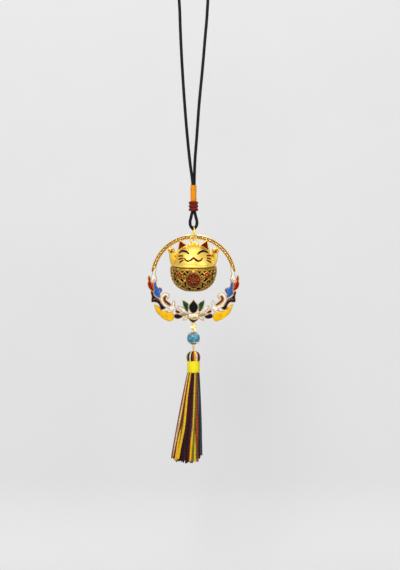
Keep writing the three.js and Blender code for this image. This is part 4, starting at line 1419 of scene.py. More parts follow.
@dataclass
class CatHead(CatAssembly):
    """The cat's domed head with ears, arms, face and hanging eye.

    Ears and face are drawn in millimetres across and up, arms across, back and up, and the toes and
    pads likewise from the paw's middle. Ear levels are growth and step along Y from back or front.
    """

    body: str = "cat"
    wall: float = 1.1 * MM
    dome_sides: int = 96
    dome_steps: int = 30
    lip_radius: float = 14.6 * MM
    lip_depth: float = 1.2 * MM
    lip_lap: float = 0.1 * MM
    soft: float = 0.2 * MM
    ear_depth: float = 2.0 * MM
    ear_forward: float = 0.5 * MM
    ear: Drawing = ((9.0, 17.4), (4.1, 13.8), (3.4, 11.6), (8.6, 8.6), (11.1, 8.6), (10.6, 11.0))
    ear_back_levels: Drawing = ((-0.7, 0.0), (-0.25, -0.4))
    ear_front_levels: Drawing = ((0.0, 0.3), (-0.15, 0.0))
    inlay: Drawing = ((8.95, 16.4), (4.95, 13.6), (9.8, 10.6))
    inlay_levels: Drawing = ((0.0, 0.1), (0.0, -0.15), (-0.18, -0.3))
    arm: Drawing = ((12.6, -2.2, 0.6), (13.7, -2.7, 3.2), (14.3, -2.95, 6.2), (14.5, -3.1, 9.4))
    arm_radius: float = 1.75 * MM
    arm_root: float = 1.12
    arm_taper: float = 0.24
    arm_samples: int = 5
    arm_sides: int = 20
    crook: Drawing = ((11.2, -0.6, 3.0), (12.0, -0.9, 6.0), (12.7, -1.2, 8.8))
    crook_radius: float = 1.45 * MM
    paw: Drawing = ((14.5, -3.1, 10.2),)
    paw_radius: float = 2.4 * MM
    paw_shares: tuple[float, float, float] = (1.0, 0.86, 0.95)
    toes: Drawing = ((-1.15, -0.85, 1.0), (0.0, -0.85, 1.35), (1.15, -0.85, 1.0))
    toe_radius: float = 0.78 * MM
    pad_forward: float = 0.82
    palm_pad: Drawing = ((0.0, 0.0, -0.45),)
    palm_pad_radii: tuple[float, float, float] = (1.0 * MM, 0.34 * MM, 0.72 * MM)
    toe_pads: Drawing = ((-1.05, -0.1, 0.75), (0.0, -0.1, 1.05), (1.05, -0.1, 0.75))
    toe_pad_radii: tuple[float, float, float] = (0.42 * MM, 0.36 * MM, 0.5 * MM)
    eye_line: Drawing = ((2.7, 8.6), (4.2, 9.8), (6.3, 10.3), (8.2, 9.7), (9.5, 8.7))
    eye_width: float = 0.8 * MM
    mouth_half: Drawing = ((6.0, 6.2), (4.8, 4.9), (3.2, 4.5), (1.5, 5.3), (0.0, 6.4))
    mouth_width: float = 0.74 * MM
    whiskers: tuple[Drawing, ...] = (
        ((-9.9, 6.9), (-8.1, 7.35), (-6.4, 7.4)), ((-9.9, 4.9), (-8.0, 5.7), (-6.3, 6.2)),
        ((-9.4, 2.8), (-7.8, 4.1), (-6.3, 5.0)), ((8.5, 7.4), (10.2, 7.3), (11.8, 6.8)),
        ((8.6, 6.0), (10.3, 5.5), (11.9, 4.7)), ((8.5, 4.8), (10.1, 3.9), (11.6, 2.6)))
    whisker_width: float = 0.58 * MM
    line_sunk: float = 0.05 * MM
    line_end: float = 0.45
    line_fullness: float = 0.6
    line_samples: int = 8
    line_sides: int = 12
    hinge_root: float = 0.6 * MM
    hinge_arm: float = 0.62
    lug_forward: float = -1.92 * MM
    lug_reach: float = 16.9 * MM
    lug_radius: float = 2.15 * MM
    lug_wire: float = 0.58 * MM
    lug_shoulder: tuple[float, float] = (1.9 * MM, -1.0 * MM)
    lug_arch: float = 0.15 * MM
    lug_root: float = 0.55 * MM
    lug_knob: tuple[float, float] = (2.5 * MM, -0.75 * MM)
    lug_knob_radius: float = 0.95 * MM
    lug_base: float = 0.6 * MM
    lug_base_radii: tuple[float, float, float] = (1.7 * MM, 0.6 * MM, 0.8 * MM)
    grain: float = 0.26 * MM
    smoothing: int = 3

    @property
    def ear_front(self) -> float:
        """The place of the ears' front along Y."""
        return -self.ear_depth / 2 - self.ear_forward

    @staticmethod
    def levels(depth: float, drawing: Drawing) -> list[tuple[float, float]]:
        """Turns drawn levels into a plate's, with a depth as their start."""
        return [(growth * MM, depth + step * MM) for growth, step in drawing]

    def dome_profile(self) -> list[tuple[float, float]]:
        """Returns the loop of the hollow dome with its rounded lip."""
        reach = self.form.head_radius
        hollow = reach - self.wall
        lip = [
            (self.lip_radius - self.soft, 0.0), (self.lip_radius, self.soft),
            (self.lip_radius, self.lip_depth - self.soft), (self.lip_radius - self.soft, self.lip_depth)]
        start = math.asin((self.lip_depth + self.lip_lap) / reach)
        steps = range(self.dome_steps + 1)
        turns = [start + (math.pi / 2 - start) * k / self.dome_steps for k in steps]
        outer = [(max(reach * math.cos(t), 1e-6), reach * math.sin(t)) for t in turns]
        inner = [(max(hollow * math.cos(t), 1e-6), hollow * math.sin(t)) for t in reversed(turns)]
        return [*lip, *outer, *inner, (hollow, 0.0)]

    def build_casting(self) -> None:
        """Builds the head in one cast piece."""
        skin = Skin()
        skin.turned(self.dome_profile(), self.dome_sides, along=True)
        back = self.levels(self.ear_depth / 2 - self.ear_forward, self.ear_back_levels)
        front = self.levels(self.ear_front, self.ear_front_levels)
        for side in Side:
            skin.plate(on_side(self.ear, side), [*back, *front])
            self.add_arm(skin, side)
        self.add_hinge(skin)
        self.add_lug(skin)
        piece = skin.build("head_casting", SATIN_GOLD, place=self.place)
        cast_in_one(piece, self.grain, self.smoothing)
        self.set_in(piece, SATIN_GOLD.slot, "cat_head")

    def add_arm(self, skin: Skin, side: Side) -> None:
        """Adds one raised arm with its crook, paw and toes."""
        arm = smooth_route(on_side(self.arm, side), self.arm_samples)
        count = len(arm) - 1
        sizes = [self.arm_radius * (self.arm_root - self.arm_taper * k / count) for k in range(count + 1)]
        skin.tube(arm, sizes, self.arm_sides)
        crook = smooth_route(on_side(self.crook, side), self.arm_samples)
        skin.tube(crook, self.crook_radius, self.arm_sides)
        paw = on_side(self.paw, side)[0]
        skin.ball(paw, [share * self.paw_radius for share in self.paw_shares], 24)
        for lift in in_metres(self.toes):
            skin.ball(paw + lift, self.toe_radius, 14)

    def add_hinge(self, skin: Skin) -> None:
        """Adds the middle knuckle behind the lip."""
        middle = self.form.add_knuckle(skin, 0.0)
        lift = Vector((0, 0, self.lip_depth / 2))
        root = Vector((0, self.form.head_radius - self.hinge_root, 0)) + lift
        skin.tube([root, (root + middle + lift) / 2, middle + lift], self.hinge_arm * self.lip_depth, 16)

    def add_lug(self, skin: Skin) -> None:
        """Adds the hanging eye, which stands upright while the head leans."""
        upright = self.place.inverted() @ Matrix.Translation(self.place.translation)
        middle = upright @ Vector((0, self.lug_forward, self.lug_reach))
        level = upright.to_3x3() @ Vector((0, 0, self.lug_radius))
        ring = circle(middle, Vector((self.lug_radius, 0, 0)), level, 40)
        skin.tube(ring, self.lug_wire, 12, closed=True)
        foot = middle + Vector((0, 0, -self.lug_radius))
        arch = Vector((0, 0, self.lug_arch))
        for side in Side:
            shoulder = foot + Vector((side.value * self.lug_shoulder[0], 0, self.lug_shoulder[1]))
            skin.tube([foot, (foot + shoulder) / 2 + arch, shoulder], self.lug_root, 12)
            knob = foot + Vector((side.value * self.lug_knob[0], 0, self.lug_knob[1]))
            skin.ball(knob, self.lug_knob_radius, 18)
        skin.ball(foot + Vector((0, 0, -self.lug_base)), self.lug_base_radii, 18)

    def face_line(self, skin: Skin, points: Route, radius: float) -> None:
        """Adds one painted line that lies on the dome and thins out at its ends.

        Args:
            skin: The skin it goes into.
            points: Points in the XZ plane.
            radius: Half its width at the middle.
        """
        flat = smooth_route(points, self.line_samples)
        route = [self.form.on_dome(p.x, p.z, -self.line_sunk) for p in flat]
        count = len(route) - 1
        sizes = []
        for k in range(count + 1):
            full = math.sin(math.pi * k / count) ** self.line_fullness
            sizes.append(radius * (self.line_end + (1 - self.line_end) * full))
        skin.tube(route, sizes, self.line_sides)

    def build_face(self) -> None:
        """Builds eyes, ear fills, paw pads, mouth and whiskers."""
        for side in Side:
            eye = Skin()
            self.face_line(eye, on_side(self.eye_line, side), self.eye_width)
            self.add(f"{side.label}_eye_line", eye, ENAMELS["black"], replaced=f"eye_{side.label}")
            fill = Skin()
            fill.plate(on_side(self.inlay, side), self.levels(self.ear_front, self.inlay_levels))
            self.add(f"{side.label}_ear_fill", fill, ENAMELS["maroon"], replaced=f"ear_inlay_{side.label}")
            self.build_pads(side)
        mouth = Skin()
        left = on_side(self.mouth_half, Side.LEFT)
        right = on_side(self.mouth_half[:-1], Side.RIGHT)
        self.face_line(mouth, [*left, *right[::-1]], self.mouth_width)
        self.add("mouth_line", mouth, ENAMELS["maroon"], replaced="mouth")
        whiskers = Skin()
        for drawing in self.whiskers:
            self.face_line(whiskers, on_side(drawing, Side.RIGHT), self.whisker_width)
        self.add("whisker_lines", whiskers, ENAMELS["maroon"])

    def build_pads(self, side: Side) -> None:
        """Builds the enamelled pads on one paw."""
        pads = Skin()
        front = on_side(self.paw, side)[0] + Vector((0, -self.pad_forward * self.paw_radius, 0))
        for lift in in_metres(self.palm_pad):
            pads.ball(front + lift, self.palm_pad_radii, 16)
        for lift in in_metres(self.toe_pads):
            pads.ball(front + lift, self.toe_pad_radii, 12)
        self.add(f"{side.label}_paw_pads", pads, ENAMELS["red"])

    def build(self) -> None:
        """Builds the casting and the face, and dresses the hinge pin."""
        self.build_casting()
        self.build_face()
        self.dress_node("hinge_pin", BRIGHT_GOLD)


@dataclass
class CatBody(CatAssembly):
    """The cat's openwork bowl with medallion, flowers and bell.

    Scroll rows hold the drop in degrees, the count and the size in millimetres, wave rows the drop, the
    count and the swing in degrees, and rings the drop and the wire in millimetres.
    """

    body: str = "cat_body"
    wall: float = 1.0 * MM
    rib: float = 0.4 * MM
    rim: Drawing = ((-0.3, 0.9), (-0.45, 0.6), (-0.7, 0.3), (-1.0, 0.08))
    net_top: float = math.radians(-2.6)
    net_bottom: float = math.radians(89.7)
    open_top: float = math.radians(-0.9)
    open_bottom: float = math.radians(63)
    open_corners: int = 3
    sides: int = 360
    rows: int = 112
    bowl_crease: float = 50.0
    ease_below: float = 0.1
    ease_rounds: int = 4
    ease_share: float = 0.5
    hinge_clear: float = 4.6 * MM
    hinge_drop: float = math.radians(20)
    scroll_rows: tuple[tuple[float, int, float], ...] = ((16.0, 16, 2.4), (35.0, 14, 2.35), (53.5, 10, 2.1))
    scroll_steps: int = 33
    scroll_shrink: float = 0.82
    scroll_turns: float = 1.3
    scroll_start: float = 0.6
    scroll_wire: float = 0.27 * MM
    scroll_end: float = 0.5
    scroll_swell: float = 0.25
    scroll_least: int = 3
    wave_rows: tuple[tuple[float, int, float], ...] = (
        (4.6, 24, 3.4), (25.5, 12, 3.4), (45.0, 10, 3.4), (62.0, 16, 1.5))
    wave_steps: int = 360
    lining_gap: float = 1.35 * MM
    lining_wall: float = 0.3 * MM
    lining_floor: float = 0.25 * MM
    lining_start: float = 2.0
    lining_sweep: float = 87.9
    lining_steps: int = 24
    lining_sides: int = 72
    collar_radius: float = 12.35 * MM
    collar_rise: float = 0.7 * MM
    collar_foot: float = -1.2 * MM
    rings: Drawing = ((-2.4, 0.26), (64.0, 0.32))
    ring_sides: int = 160
    medallion_radius: float = 4.8 * MM
    medallion_drop: float = math.radians(22)
    medallion_gap: float = 0.2 * MM
    medallion_edge: float = 0.2 * MM
    medallion_face: float = 0.24 * MM
    medallion_eye: float = 0.02 * MM
    relief_proud: float = 0.3 * MM
    border_wire: float = 0.34 * MM
    heart_ring: float = 0.26
    heart_wire: float = 0.2 * MM
    heart_radius: float = 0.6 * MM
    leaf_count: int = 8
    leaf_steps: int = 20
    leaf_middle: float = 0.58
    leaf_half: float = 0.26
    leaf_width: float = 0.15
    leaf_wire: float = 0.17 * MM
    gem_way: tuple[float, float, float] = (0.55, -0.81, -0.17)
    gem_radius: float = 0.6 * MM
    gem_proud: float = 0.25 * MM
    flower_proud: float = 0.35 * MM
    petal_count: int = 5
    petal_radius: float = 0.9 * MM
    petal_reach: float = 1.35 * MM
    petal_proud: float = 0.3 * MM
    seat_sunk: float = 0.35 * MM
    seat_border: float = 0.2 * MM
    bell_radius: float = 1.0 * MM
    bell_gap: float = 0.05 * MM
    bell_girth: float = 0.98
    bell_wire: float = 0.1 * MM
    stalk_steps: tuple[float, ...] = (0.6 * MM, 1.0 * MM, 1.4 * MM)
    stalk_radius: float = 0.3 * MM
    hinge_root: float = 0.7 * MM
    hinge_overlap: float = 0.7
    hinge_arm: float = 0.9 * MM

    def medallion_way(self) -> Vector:
        """Returns the direction from the bowl's middle to the medallion."""
        return Vector((0, -math.cos(self.medallion_drop), -math.sin(self.medallion_drop)))

    def scroll(self, turn: float, level: float, size: float, hand: int) -> Route:
        """Returns the middle line of one scroll.

        Args:
            turn: Its turn from the front.
            level: Its angle below the bowl's widest line.
            size: Its radius where it starts.
            hand: 1 or -1, the way that it winds.

        Returns:
            The points on the bowl's outside.
        """
        line = []
        for step in range(self.scroll_steps + 1):
            share = step / self.scroll_steps
            reach = size * (1 - self.scroll_shrink * share)
            angle = hand * (math.tau * self.scroll_turns * share - self.scroll_start)
            across = reach * math.cos(angle) / (self.form.body_radius * math.cos(level))
            down = reach * math.sin(angle) / self.form.body_radius
            line.append(self.form.on_bowl(turn + across, max(level + down, self.open_top)))
        return line

    def scrollwork(self) -> list[Route]:
        """Returns the middle lines of the scrollwork on the bowl's outside."""
        lines = []
        for row, (drop, count, size) in enumerate(self.scroll_rows):
            for k in range(count):
                turn = math.tau * (k + 0.5 * (row % 2)) / count
                lines.append(self.scroll(turn, math.radians(drop), size * MM, 1 if k % 2 else -1))
        for drop, waves, swing in self.wave_rows:
            line = []
            for k in range(self.wave_steps + 1):
                turn = math.tau * k / self.wave_steps
                line.append(self.form.on_bowl(turn, math.radians(drop + swing * math.cos(waves * turn))))
            lines.append(line)
        return lines

    def is_plain(self, turn: float, drop: float) -> bool:
        """Tells whether a place on the bowl has no openwork."""
        way = self.form.bowl_way(turn, drop)
        radius = self.form.body_radius
        outside = drop < self.open_top or drop > self.open_bottom
        apart = way.angle(self.medallion_way()) * radius
        near_medallion = apart < self.medallion_radius + self.medallion_gap
        near_hinge = abs(way.x) * radius < self.hinge_clear and way.y > 0 and drop < self.hinge_drop
        return outside or near_medallion or near_hinge

    def is_plain_spot(self, spot: Vector) -> bool:
        """Tells whether a point on the bowl has no openwork."""
        way = (spot - Vector((0, 0, self.form.bulge))).normalized()
        return self.is_plain(math.atan2(way.x, -way.y), math.asin(max(-1.0, min(1.0, -way.z))))

    def draw_net(self, lines: list[Route]) -> bmesh.types.BMesh:
        """Draws the bowl as a fine net with the faces between the scrolls left out.

        Args:
            lines: The scrolls that stay.

        Returns:
            The net in the cat's own tilt.
        """
        spots = [spot for line in lines for spot in line]
        tree = KDTree(len(spots))
        for index, spot in enumerate(spots):
            tree.insert(spot, index)
        tree.balance()
        net = bmesh.new()
        grid = []
        turns = full_turn(self.sides)
        for height, tuck in self.rim:
            reach = self.form.body_radius - tuck * MM
            ring = [Vector((reach * math.sin(t), -reach * math.cos(t), height * MM)) for t in turns]
            grid.append([(net.verts.new(spot), False) for spot in ring])
        for i in range(self.rows + 1):
            drop = self.net_top + (self.net_bottom - self.net_top) * i / self.rows
            row = []
            for turn in turns:
                spot = self.form.on_bowl(turn, drop)
                is_open = not self.is_plain(turn, drop) and tree.find(spot)[2] > self.rib
                row.append((net.verts.new(spot), is_open))
            grid.append(row)
        for upper, lower in zip(grid, grid[1:]):
            for j in range(self.sides):
                after = (j + 1) % self.sides
                corners = [upper[j], lower[j], lower[after], upper[after]]
                if sum(is_open for _, is_open in corners) < self.open_corners:
                    net.faces.new([vertex for vertex, _ in corners])
        bmesh.ops.delete(net, geom=[v for v in net.verts if not v.link_faces], context="VERTS")
        self.ease_edges(net)
        net.faces.new([vertex for vertex, _ in grid[-1]])
        return net

    def ease_edges(self, net: bmesh.types.BMesh) -> None:
        """Rounds the stepped edges of the openings."""
        lowest = (self.rim[0][0] - self.ease_below) * MM
        edges = [edge for edge in net.edges if edge.is_boundary]
        loose = {vertex for edge in edges for vertex in edge.verts if vertex.co.z < lowest}
        for _ in range(self.ease_rounds):
            moved = {}
            for vertex in loose:
                beside = [edge.other_vert(vertex).co for edge in vertex.link_edges if edge.is_boundary]
                middle = sum(beside, Vector()) / len(beside)
                moved[vertex] = vertex.co.lerp(middle, self.ease_share)
            for vertex, spot in moved.items():
                vertex.co = spot

    def build_bowl(self, lines: list[Route]) -> None:
        """Builds the pierced bowl.

        Args:
            lines: The scrolls that stay.
        """
        net = self.draw_net(lines)
        bmesh.ops.recalc_face_normals(net, faces=net.faces)
        net.transform(self.place)
        mesh = bpy.data.meshes.new("bowl_openwork")
        net.to_mesh(mesh)
        net.free()
        for finish in (OPENWORK_GOLD, DARK_INSIDE):
            mesh.materials.append(finish.material())
        piece = bpy.data.objects.new("bowl_openwork", mesh)
        bpy.context.scene.collection.objects.link(piece)
        thicken = piece.modifiers.new("thicken", "SOLIDIFY")
        thicken.thickness = self.wall
        thicken.offset = -1.0
        # the inner face takes the painted shade of the inside
        thicken.material_offset = 1
        thicken.material_offset_rim = 0
        apply_modifiers(piece)
        piece.data.set_sharp_from_angle(angle=math.radians(self.bowl_crease))
        self.set_in(piece, OPENWORK_GOLD.slot, "cat_body_shell")

    def build_scrolls(self, lines: list[Route]) -> None:
        """Builds raised scroll wires on the ribs, apart from those under the medallion.

        Args:
            lines: The scrolls' middle lines.
        """
        skin = Skin()
        for line in lines:
            run: Route = []
            for spot in [*line, None]:
                if spot and not self.is_plain_spot(spot):
                    run.append(spot)
                    continue
                if len(run) > self.scroll_least:
                    ends = [min(k, len(run) - 1 - k) for k in range(len(run))]
                    shares = [min(1.0, self.scroll_end + self.scroll_swell * end) for end in ends]
                    skin.tube(run, [self.scroll_wire * share for share in shares], 8)
                run = []
        self.add("bowl_scrolls", skin, OPENWORK_GOLD)

    def build_lining(self) -> None:
        """Builds the lining that the openings show, dark as painted shade, with a collar that rises into the
        head.
        """
        skin = Skin()
        profile = [(self.collar_radius, self.collar_rise), (self.collar_radius, self.collar_foot)]
        for k in range(self.lining_steps + 1):
            drop = math.radians(self.lining_start + self.lining_sweep * k / self.lining_steps)
            spot = self.form.on_bowl(0.0, drop, -self.lining_gap)
            profile.append((-spot.y, spot.z))
        inner = [(max(r - self.lining_wall, 1e-6), z + self.lining_floor) for r, z in reversed(profile[1:])]
        inner.append((self.collar_radius - self.lining_wall, self.collar_rise))
        skin.turned([*profile, *inner], self.lining_sides, along=True)
        self.add("bowl_lining", skin, DARK_INSIDE)

    def build_rings(self) -> None:
        """Builds the bead line below the rim and the plain lower band's edge."""
        skin = Skin()
        for drop, wire in self.rings:
            line = [self.form.on_bowl(turn, math.radians(drop)) for turn in full_turn(self.ring_sides)]
            skin.tube(line, wire * MM, 10, closed=True)
        self.add("bowl_rings", skin, OPENWORK_GOLD)

    def on_medallion(self, across: float, up: float, proud: float) -> Vector:
        """Returns a point of the medallion's face, laid over the bowl."""
        way = self.medallion_way()
        lift = Vector((0, way.z, -way.y)).normalized()
        flat = way * self.form.body_radius + Vector((1, 0, 0)) * across + lift * up
        return self.form.along_way(flat.normalized(), proud)

    def medallion_ring(self, reach: float, proud: float, count: int = 72) -> Route:
        """Returns a ring of points on the medallion's face."""
        turns = full_turn(count)
        return [self.on_medallion(reach * math.cos(t), reach * math.sin(t), proud) for t in turns]

    def build_medallion(self) -> None:
        """Builds the dark red medallion with a gold rim and an eight-petalled flower."""
        ground = Skin()
        reach = self.medallion_radius
        face = self.medallion_face
        rings = [(reach, 0.0), (reach, self.medallion_edge), (0.85 * reach, face), (0.5 * reach, face)]
        rings.append((self.medallion_eye, face))
        rows = [self.medallion_ring(size, proud) for size, proud in rings]
        ground.grid(rows)
        ground.cap(rows[-1])
        self.add("medallion_ground", ground, ENAMELS["maroon"], replaced="belly_medallion")
        relief = Skin()
        proud = self.relief_proud
        border = self.medallion_ring(reach - self.medallion_edge, proud)
        relief.tube(border, self.border_wire, 10, closed=True)
        relief.tube(self.medallion_ring(self.heart_ring * reach, proud, 36), self.heart_wire, 8, closed=True)
        relief.ball(self.on_medallion(0, 0, self.medallion_edge), self.heart_radius, 16)
        for k in range(self.leaf_count):
            relief.tube(self.leaf(math.tau * (k + 0.5) / self.leaf_count), self.leaf_wire, 8, closed=True)
        self.add("medallion_relief", relief, COPPER)

    def leaf(self, turn: float) -> Route:
        """Returns the outline of one petal of the medallion's flower."""
        reach = self.medallion_radius
        outline = []
        for share in full_turn(self.leaf_steps):
            out = reach * (self.leaf_middle - self.leaf_half * math.cos(share))
            across = self.leaf_width * reach * math.sin(share) * (1.25 - 0.35 * math.cos(share))
            x = out * math.cos(turn) - across * math.sin(turn)
            y = out * math.sin(turn) + across * math.cos(turn)
            outline.append(self.on_medallion(x, y, self.relief_proud))
        return outline

    def build_flowers(self) -> None:
        """Builds a small red flower with a gold heart on each flank."""
        bulge = Vector((0, 0, self.form.bulge))
        for side in Side:
            way = Vector((side.value * self.gem_way[0], *self.gem_way[1:])).normalized()
            across = Vector((-way.y, way.x, 0)).normalized()
            rise = way.cross(across)
            petals = Skin()
            seat = Skin()
            middle = self.form.along_way(way, self.flower_proud)
            for share in full_turn(self.petal_count):
                turn = share + math.pi / 2
                out = (across * math.cos(turn) + rise * math.sin(turn)) * self.petal_reach
                spot = self.form.along_way((middle + out - bulge).normalized(), self.petal_proud)
                petals.ball(spot, self.petal_radius, 14)
                seat.ball(spot - way * self.seat_sunk, self.petal_radius + self.seat_border, 14)
            seat.ball(middle + way * self.gem_proud, self.gem_radius, 18)
            self.add(f"{side.label}_flower", petals, ENAMELS["red"], replaced=f"gem_{side.label}")
            self.add(f"{side.label}_flower_seat", seat, OPENWORK_GOLD)

    def build_bell(self) -> None:
        """Builds the little bell below the lip with its waist line and stalk."""
        forward = -self.form.body_radius - self.bell_radius - self.bell_gap
        middle = Vector((0, forward, self.form.bulge))
        skin = Skin()
        skin.ball(middle, self.bell_radius, 24)
        girth = self.bell_girth * self.bell_radius
        waist = circle(middle, Vector((girth, 0, 0)), Vector((0, girth, 0)), 28)
        skin.tube(waist, self.bell_wire, 8, closed=True)
        skin.tube([middle + Vector((0, step, 0)) for step in self.stalk_steps], self.stalk_radius, 10)
        self.add("bell", skin, BRIGHT_GOLD, replaced="collar_bell")

    def build_hinge(self) -> None:
        """Builds the two outer knuckles and their arms."""
        form = self.form
        skin = Skin()
        low = Vector((0, 0, -form.knuckle_radius - form.knuckle_gap))
        for side in Side:
            middle = form.add_knuckle(skin, side.value * (form.knuckle_length + form.knuckle_gap))
            root = Vector((middle.x, form.body_radius - self.hinge_root, 0)) + low
            start = middle + low * self.hinge_overlap
            skin.tube([start, (middle + low + root) / 2, root], self.hinge_arm, 16)
        self.add("hinge_knuckles", skin, OPENWORK_GOLD)

    def build(self) -> None:
        """Builds the bowl and everything on it."""
        lines = self.scrollwork()
        self.build_bowl(lines)
        self.build_scrolls(lines)
        self.build_lining()
        self.build_rings()
        self.build_medallion()
        self.build_flowers()
        self.build_bell()
        self.build_hinge()


@dataclass
class Drop(SubAssembly):
    """The eye pin with its star."""

    body: str = "drop"
    pin_height: float = -228.4705 * MM
    pin_eye: float = 1.15 * MM
    foot_height: float = -242.42 * MM
    foot_radius: float = 0.8 * MM
    wire: float = 0.6 * MM
    wire_sides: int = 10
    star_height: float = -229.56 * MM
    star_radius: float = 2.3 * MM
    star_waist: float = 0.52
    star_points: int = 5
    star_back: float = -1.5 * MM
    star_depth: float = 0.9 * MM
    star_edge: float = 0.12 * MM
    star_ridge: float = 0.35
    star_peak: float = 0.02
    star_crease: float = 12.0
    solder: tuple[float, float, float] = (0.5 * MM, 0.3 * MM, 0.5 * MM)
    solder_back: float = 0.1 * MM
    solder_rise: float = 0.6 * MM

    def build(self) -> None:
        """Builds the bent pin and the faceted star."""
        pin = Skin()
        eye = Vector((0, 0, self.pin_height))
        ring = circle(eye, Vector((0, self.pin_eye, 0)), Vector((0, 0, self.pin_eye)), 28)
        pin.tube(ring, self.wire / 2, self.wire_sides, True)
        bend = Vector((0, 0, self.foot_height))
        ring = circle(bend, Vector((self.foot_radius, 0, 0)), Vector((0, 0, self.foot_radius)), 24)
        pin.tube(ring, self.wire / 2, self.wire_sides, True)
        top = self.pin_height - self.pin_eye
        foot = self.foot_height + self.foot_radius
        shaft = [Vector((0, 0, top + (foot - top) * k / 6)) for k in range(7)]
        pin.tube(shaft, self.wire / 2, self.wire_sides)
        self.add("pin_wire", pin, BRIGHT_GOLD, replaced="eye_pin")
        self.build_star()

    def build_star(self) -> None:
        """Builds the star with a ridge to every tip, and the drop of solder behind it."""
        star = Skin()
        middle = Vector((0, 0, self.star_height))
        outline = []
        for k, turn in enumerate(full_turn(2 * self.star_points)):
            reach = self.star_radius * (self.star_waist if k % 2 else 1.0)
            outline.append(Vector((reach * math.sin(turn), 0, self.star_height + reach * math.cos(turn))))
        levels = (
            (0.96, self.star_back), (1.0, self.star_back - self.star_edge),
            (0.99, self.star_back - self.star_ridge * self.star_depth))
        rings = []
        for share, depth in levels:
            rings.append(at_depth([middle + (p - middle) * share for p in outline], depth))
        peak = Vector((0, self.star_back - self.star_depth, self.star_height))
        rings.append([peak + (p - peak) * self.star_peak for p in rings[-1]])
        star.grid(rings)
        star.cap(rings[0])
        star.cap(rings[-1])
        back = Vector((0, self.star_back + self.solder_back, self.star_height + self.solder_rise))
        star.ball(back, self.solder, 12)
        self.add("star", star, BRIGHT_GOLD, replaced="star_charm", crease=self.star_crease)


@dataclass
class Bead(SubAssembly):
    """The turquoise bead between its silver caps."""

    body: str = "bead"
    height: float = -236.3705 * MM
    radius: float = 4.3 * MM
    length: float = 7.6 * MM
    flat_end: float = 0.95
    bore: float = 0.45 * MM
    fullness: float = 2.6
    half_steps: int = 16
    sides: int = 48
    cap_radius: float = 3.75 * MM
    cap_crown: float = 0.75 * MM
    cap_wall: float = 0.2 * MM
    cap_seat: float = 0.24 * MM
    cap_sides: int = 96
    cap_shares: tuple[float, ...] = (0.2, 0.34, 0.5, 0.66, 0.8, 0.92, 1.0)
    lobes: int = 8
    lobe_fullness: float = 0.6
    lobe_notch: float = 0.2
    lobe_curl: float = 0.16 * MM
    pearls: int = 12
    pearl_ring: float = 0.95 * MM
    pearl_rise: float = 0.75
    pearl_radius: float = 0.24 * MM

    def width_at(self, rise: float) -> float:
        """Returns the bead's radius at a height above its middle."""
        share = min(abs(rise) / (self.length / 2), 1.0)
        return self.radius * math.sqrt(max(0.0, 1 - share ** self.fullness))

    def build(self) -> None:
        """Builds the bead and both caps."""
        end = self.flat_end * self.length / 2
        steps = range(2 * self.half_steps + 1)
        heights = [end * math.sin(math.pi / 2 * (k / self.half_steps - 1)) for k in steps]
        profile = [(self.bore, -end), *[(self.width_at(h), h) for h in heights], (self.bore, end)]
        bead = Skin()
        bead.turned(profile, self.sides, Matrix.Translation((0, 0, self.height)), along=True)
        self.add("bead_stone", bead, TURQUOISE, replaced="turquoise_bead")
        for label, way in (("top", 1), ("bottom", -1)):
            self.build_cap(label, way)

    def cap_spot(self, share: float, turn: float, way: int) -> Vector:
        """Returns a point on a cap's outside.

        Args:
            share: Share of the cap's radius.
            turn: The angle round it.
            way: 1 for the upper end, -1 for the lower.

        Returns:
            The point.
        """
        lobe = abs(math.cos(self.lobes * turn / 2)) ** self.lobe_fullness
        reach = self.cap_radius * share * (1 - self.lobe_notch * share ** 2 * (1 - lobe))
        shoulder = self.length / 2 * (1 - (reach / self.radius) ** 2) ** (1 / self.fullness)
        crown = self.cap_crown * (1 - share) ** 2
        rise = shoulder + self.cap_seat + crown + self.lobe_curl * lobe * share
        return Vector((reach * math.cos(turn), reach * math.sin(turn), self.height + way * rise))

    def build_cap(self, label: str, way: int) -> None:
        """Builds one cap of overlapping petals round a beaded neck.

        Args:
            label: The end of the bead.
            way: 1 for the upper end, -1 for the lower.
        """
        turns = full_turn(self.cap_sides)
        rows = [[self.cap_spot(share, turn, way) for turn in turns] for share in self.cap_shares]
        under = [[Vector((p.x, p.y, p.z - way * self.cap_wall)) for p in row] for row in reversed(rows)]
        cap = Skin()
        cap.grid([*rows, *under], True, True)
        rise = self.length / 2 + self.pearl_rise * self.cap_crown
        middle = Vector((0, 0, self.height + way * rise))
        ring = circle(middle, Vector((self.pearl_ring, 0, 0)), Vector((0, self.pearl_ring, 0)), self.pearls)
        for spot in ring:
            cap.ball(spot, self.pearl_radius, 10)
        self.add(f"cap_{label}", cap, BRIGHT_SILVER, replaced=f"bead_cap_{label}")


@dataclass(frozen=True)
class Lock:
    """How one lock of the tassel's skirt hangs: its place, width, stray and wave."""

    tone: str
    turn: float
    half: float
    depth: float
    stray: float
    wave: float
    beat: float
    short: float


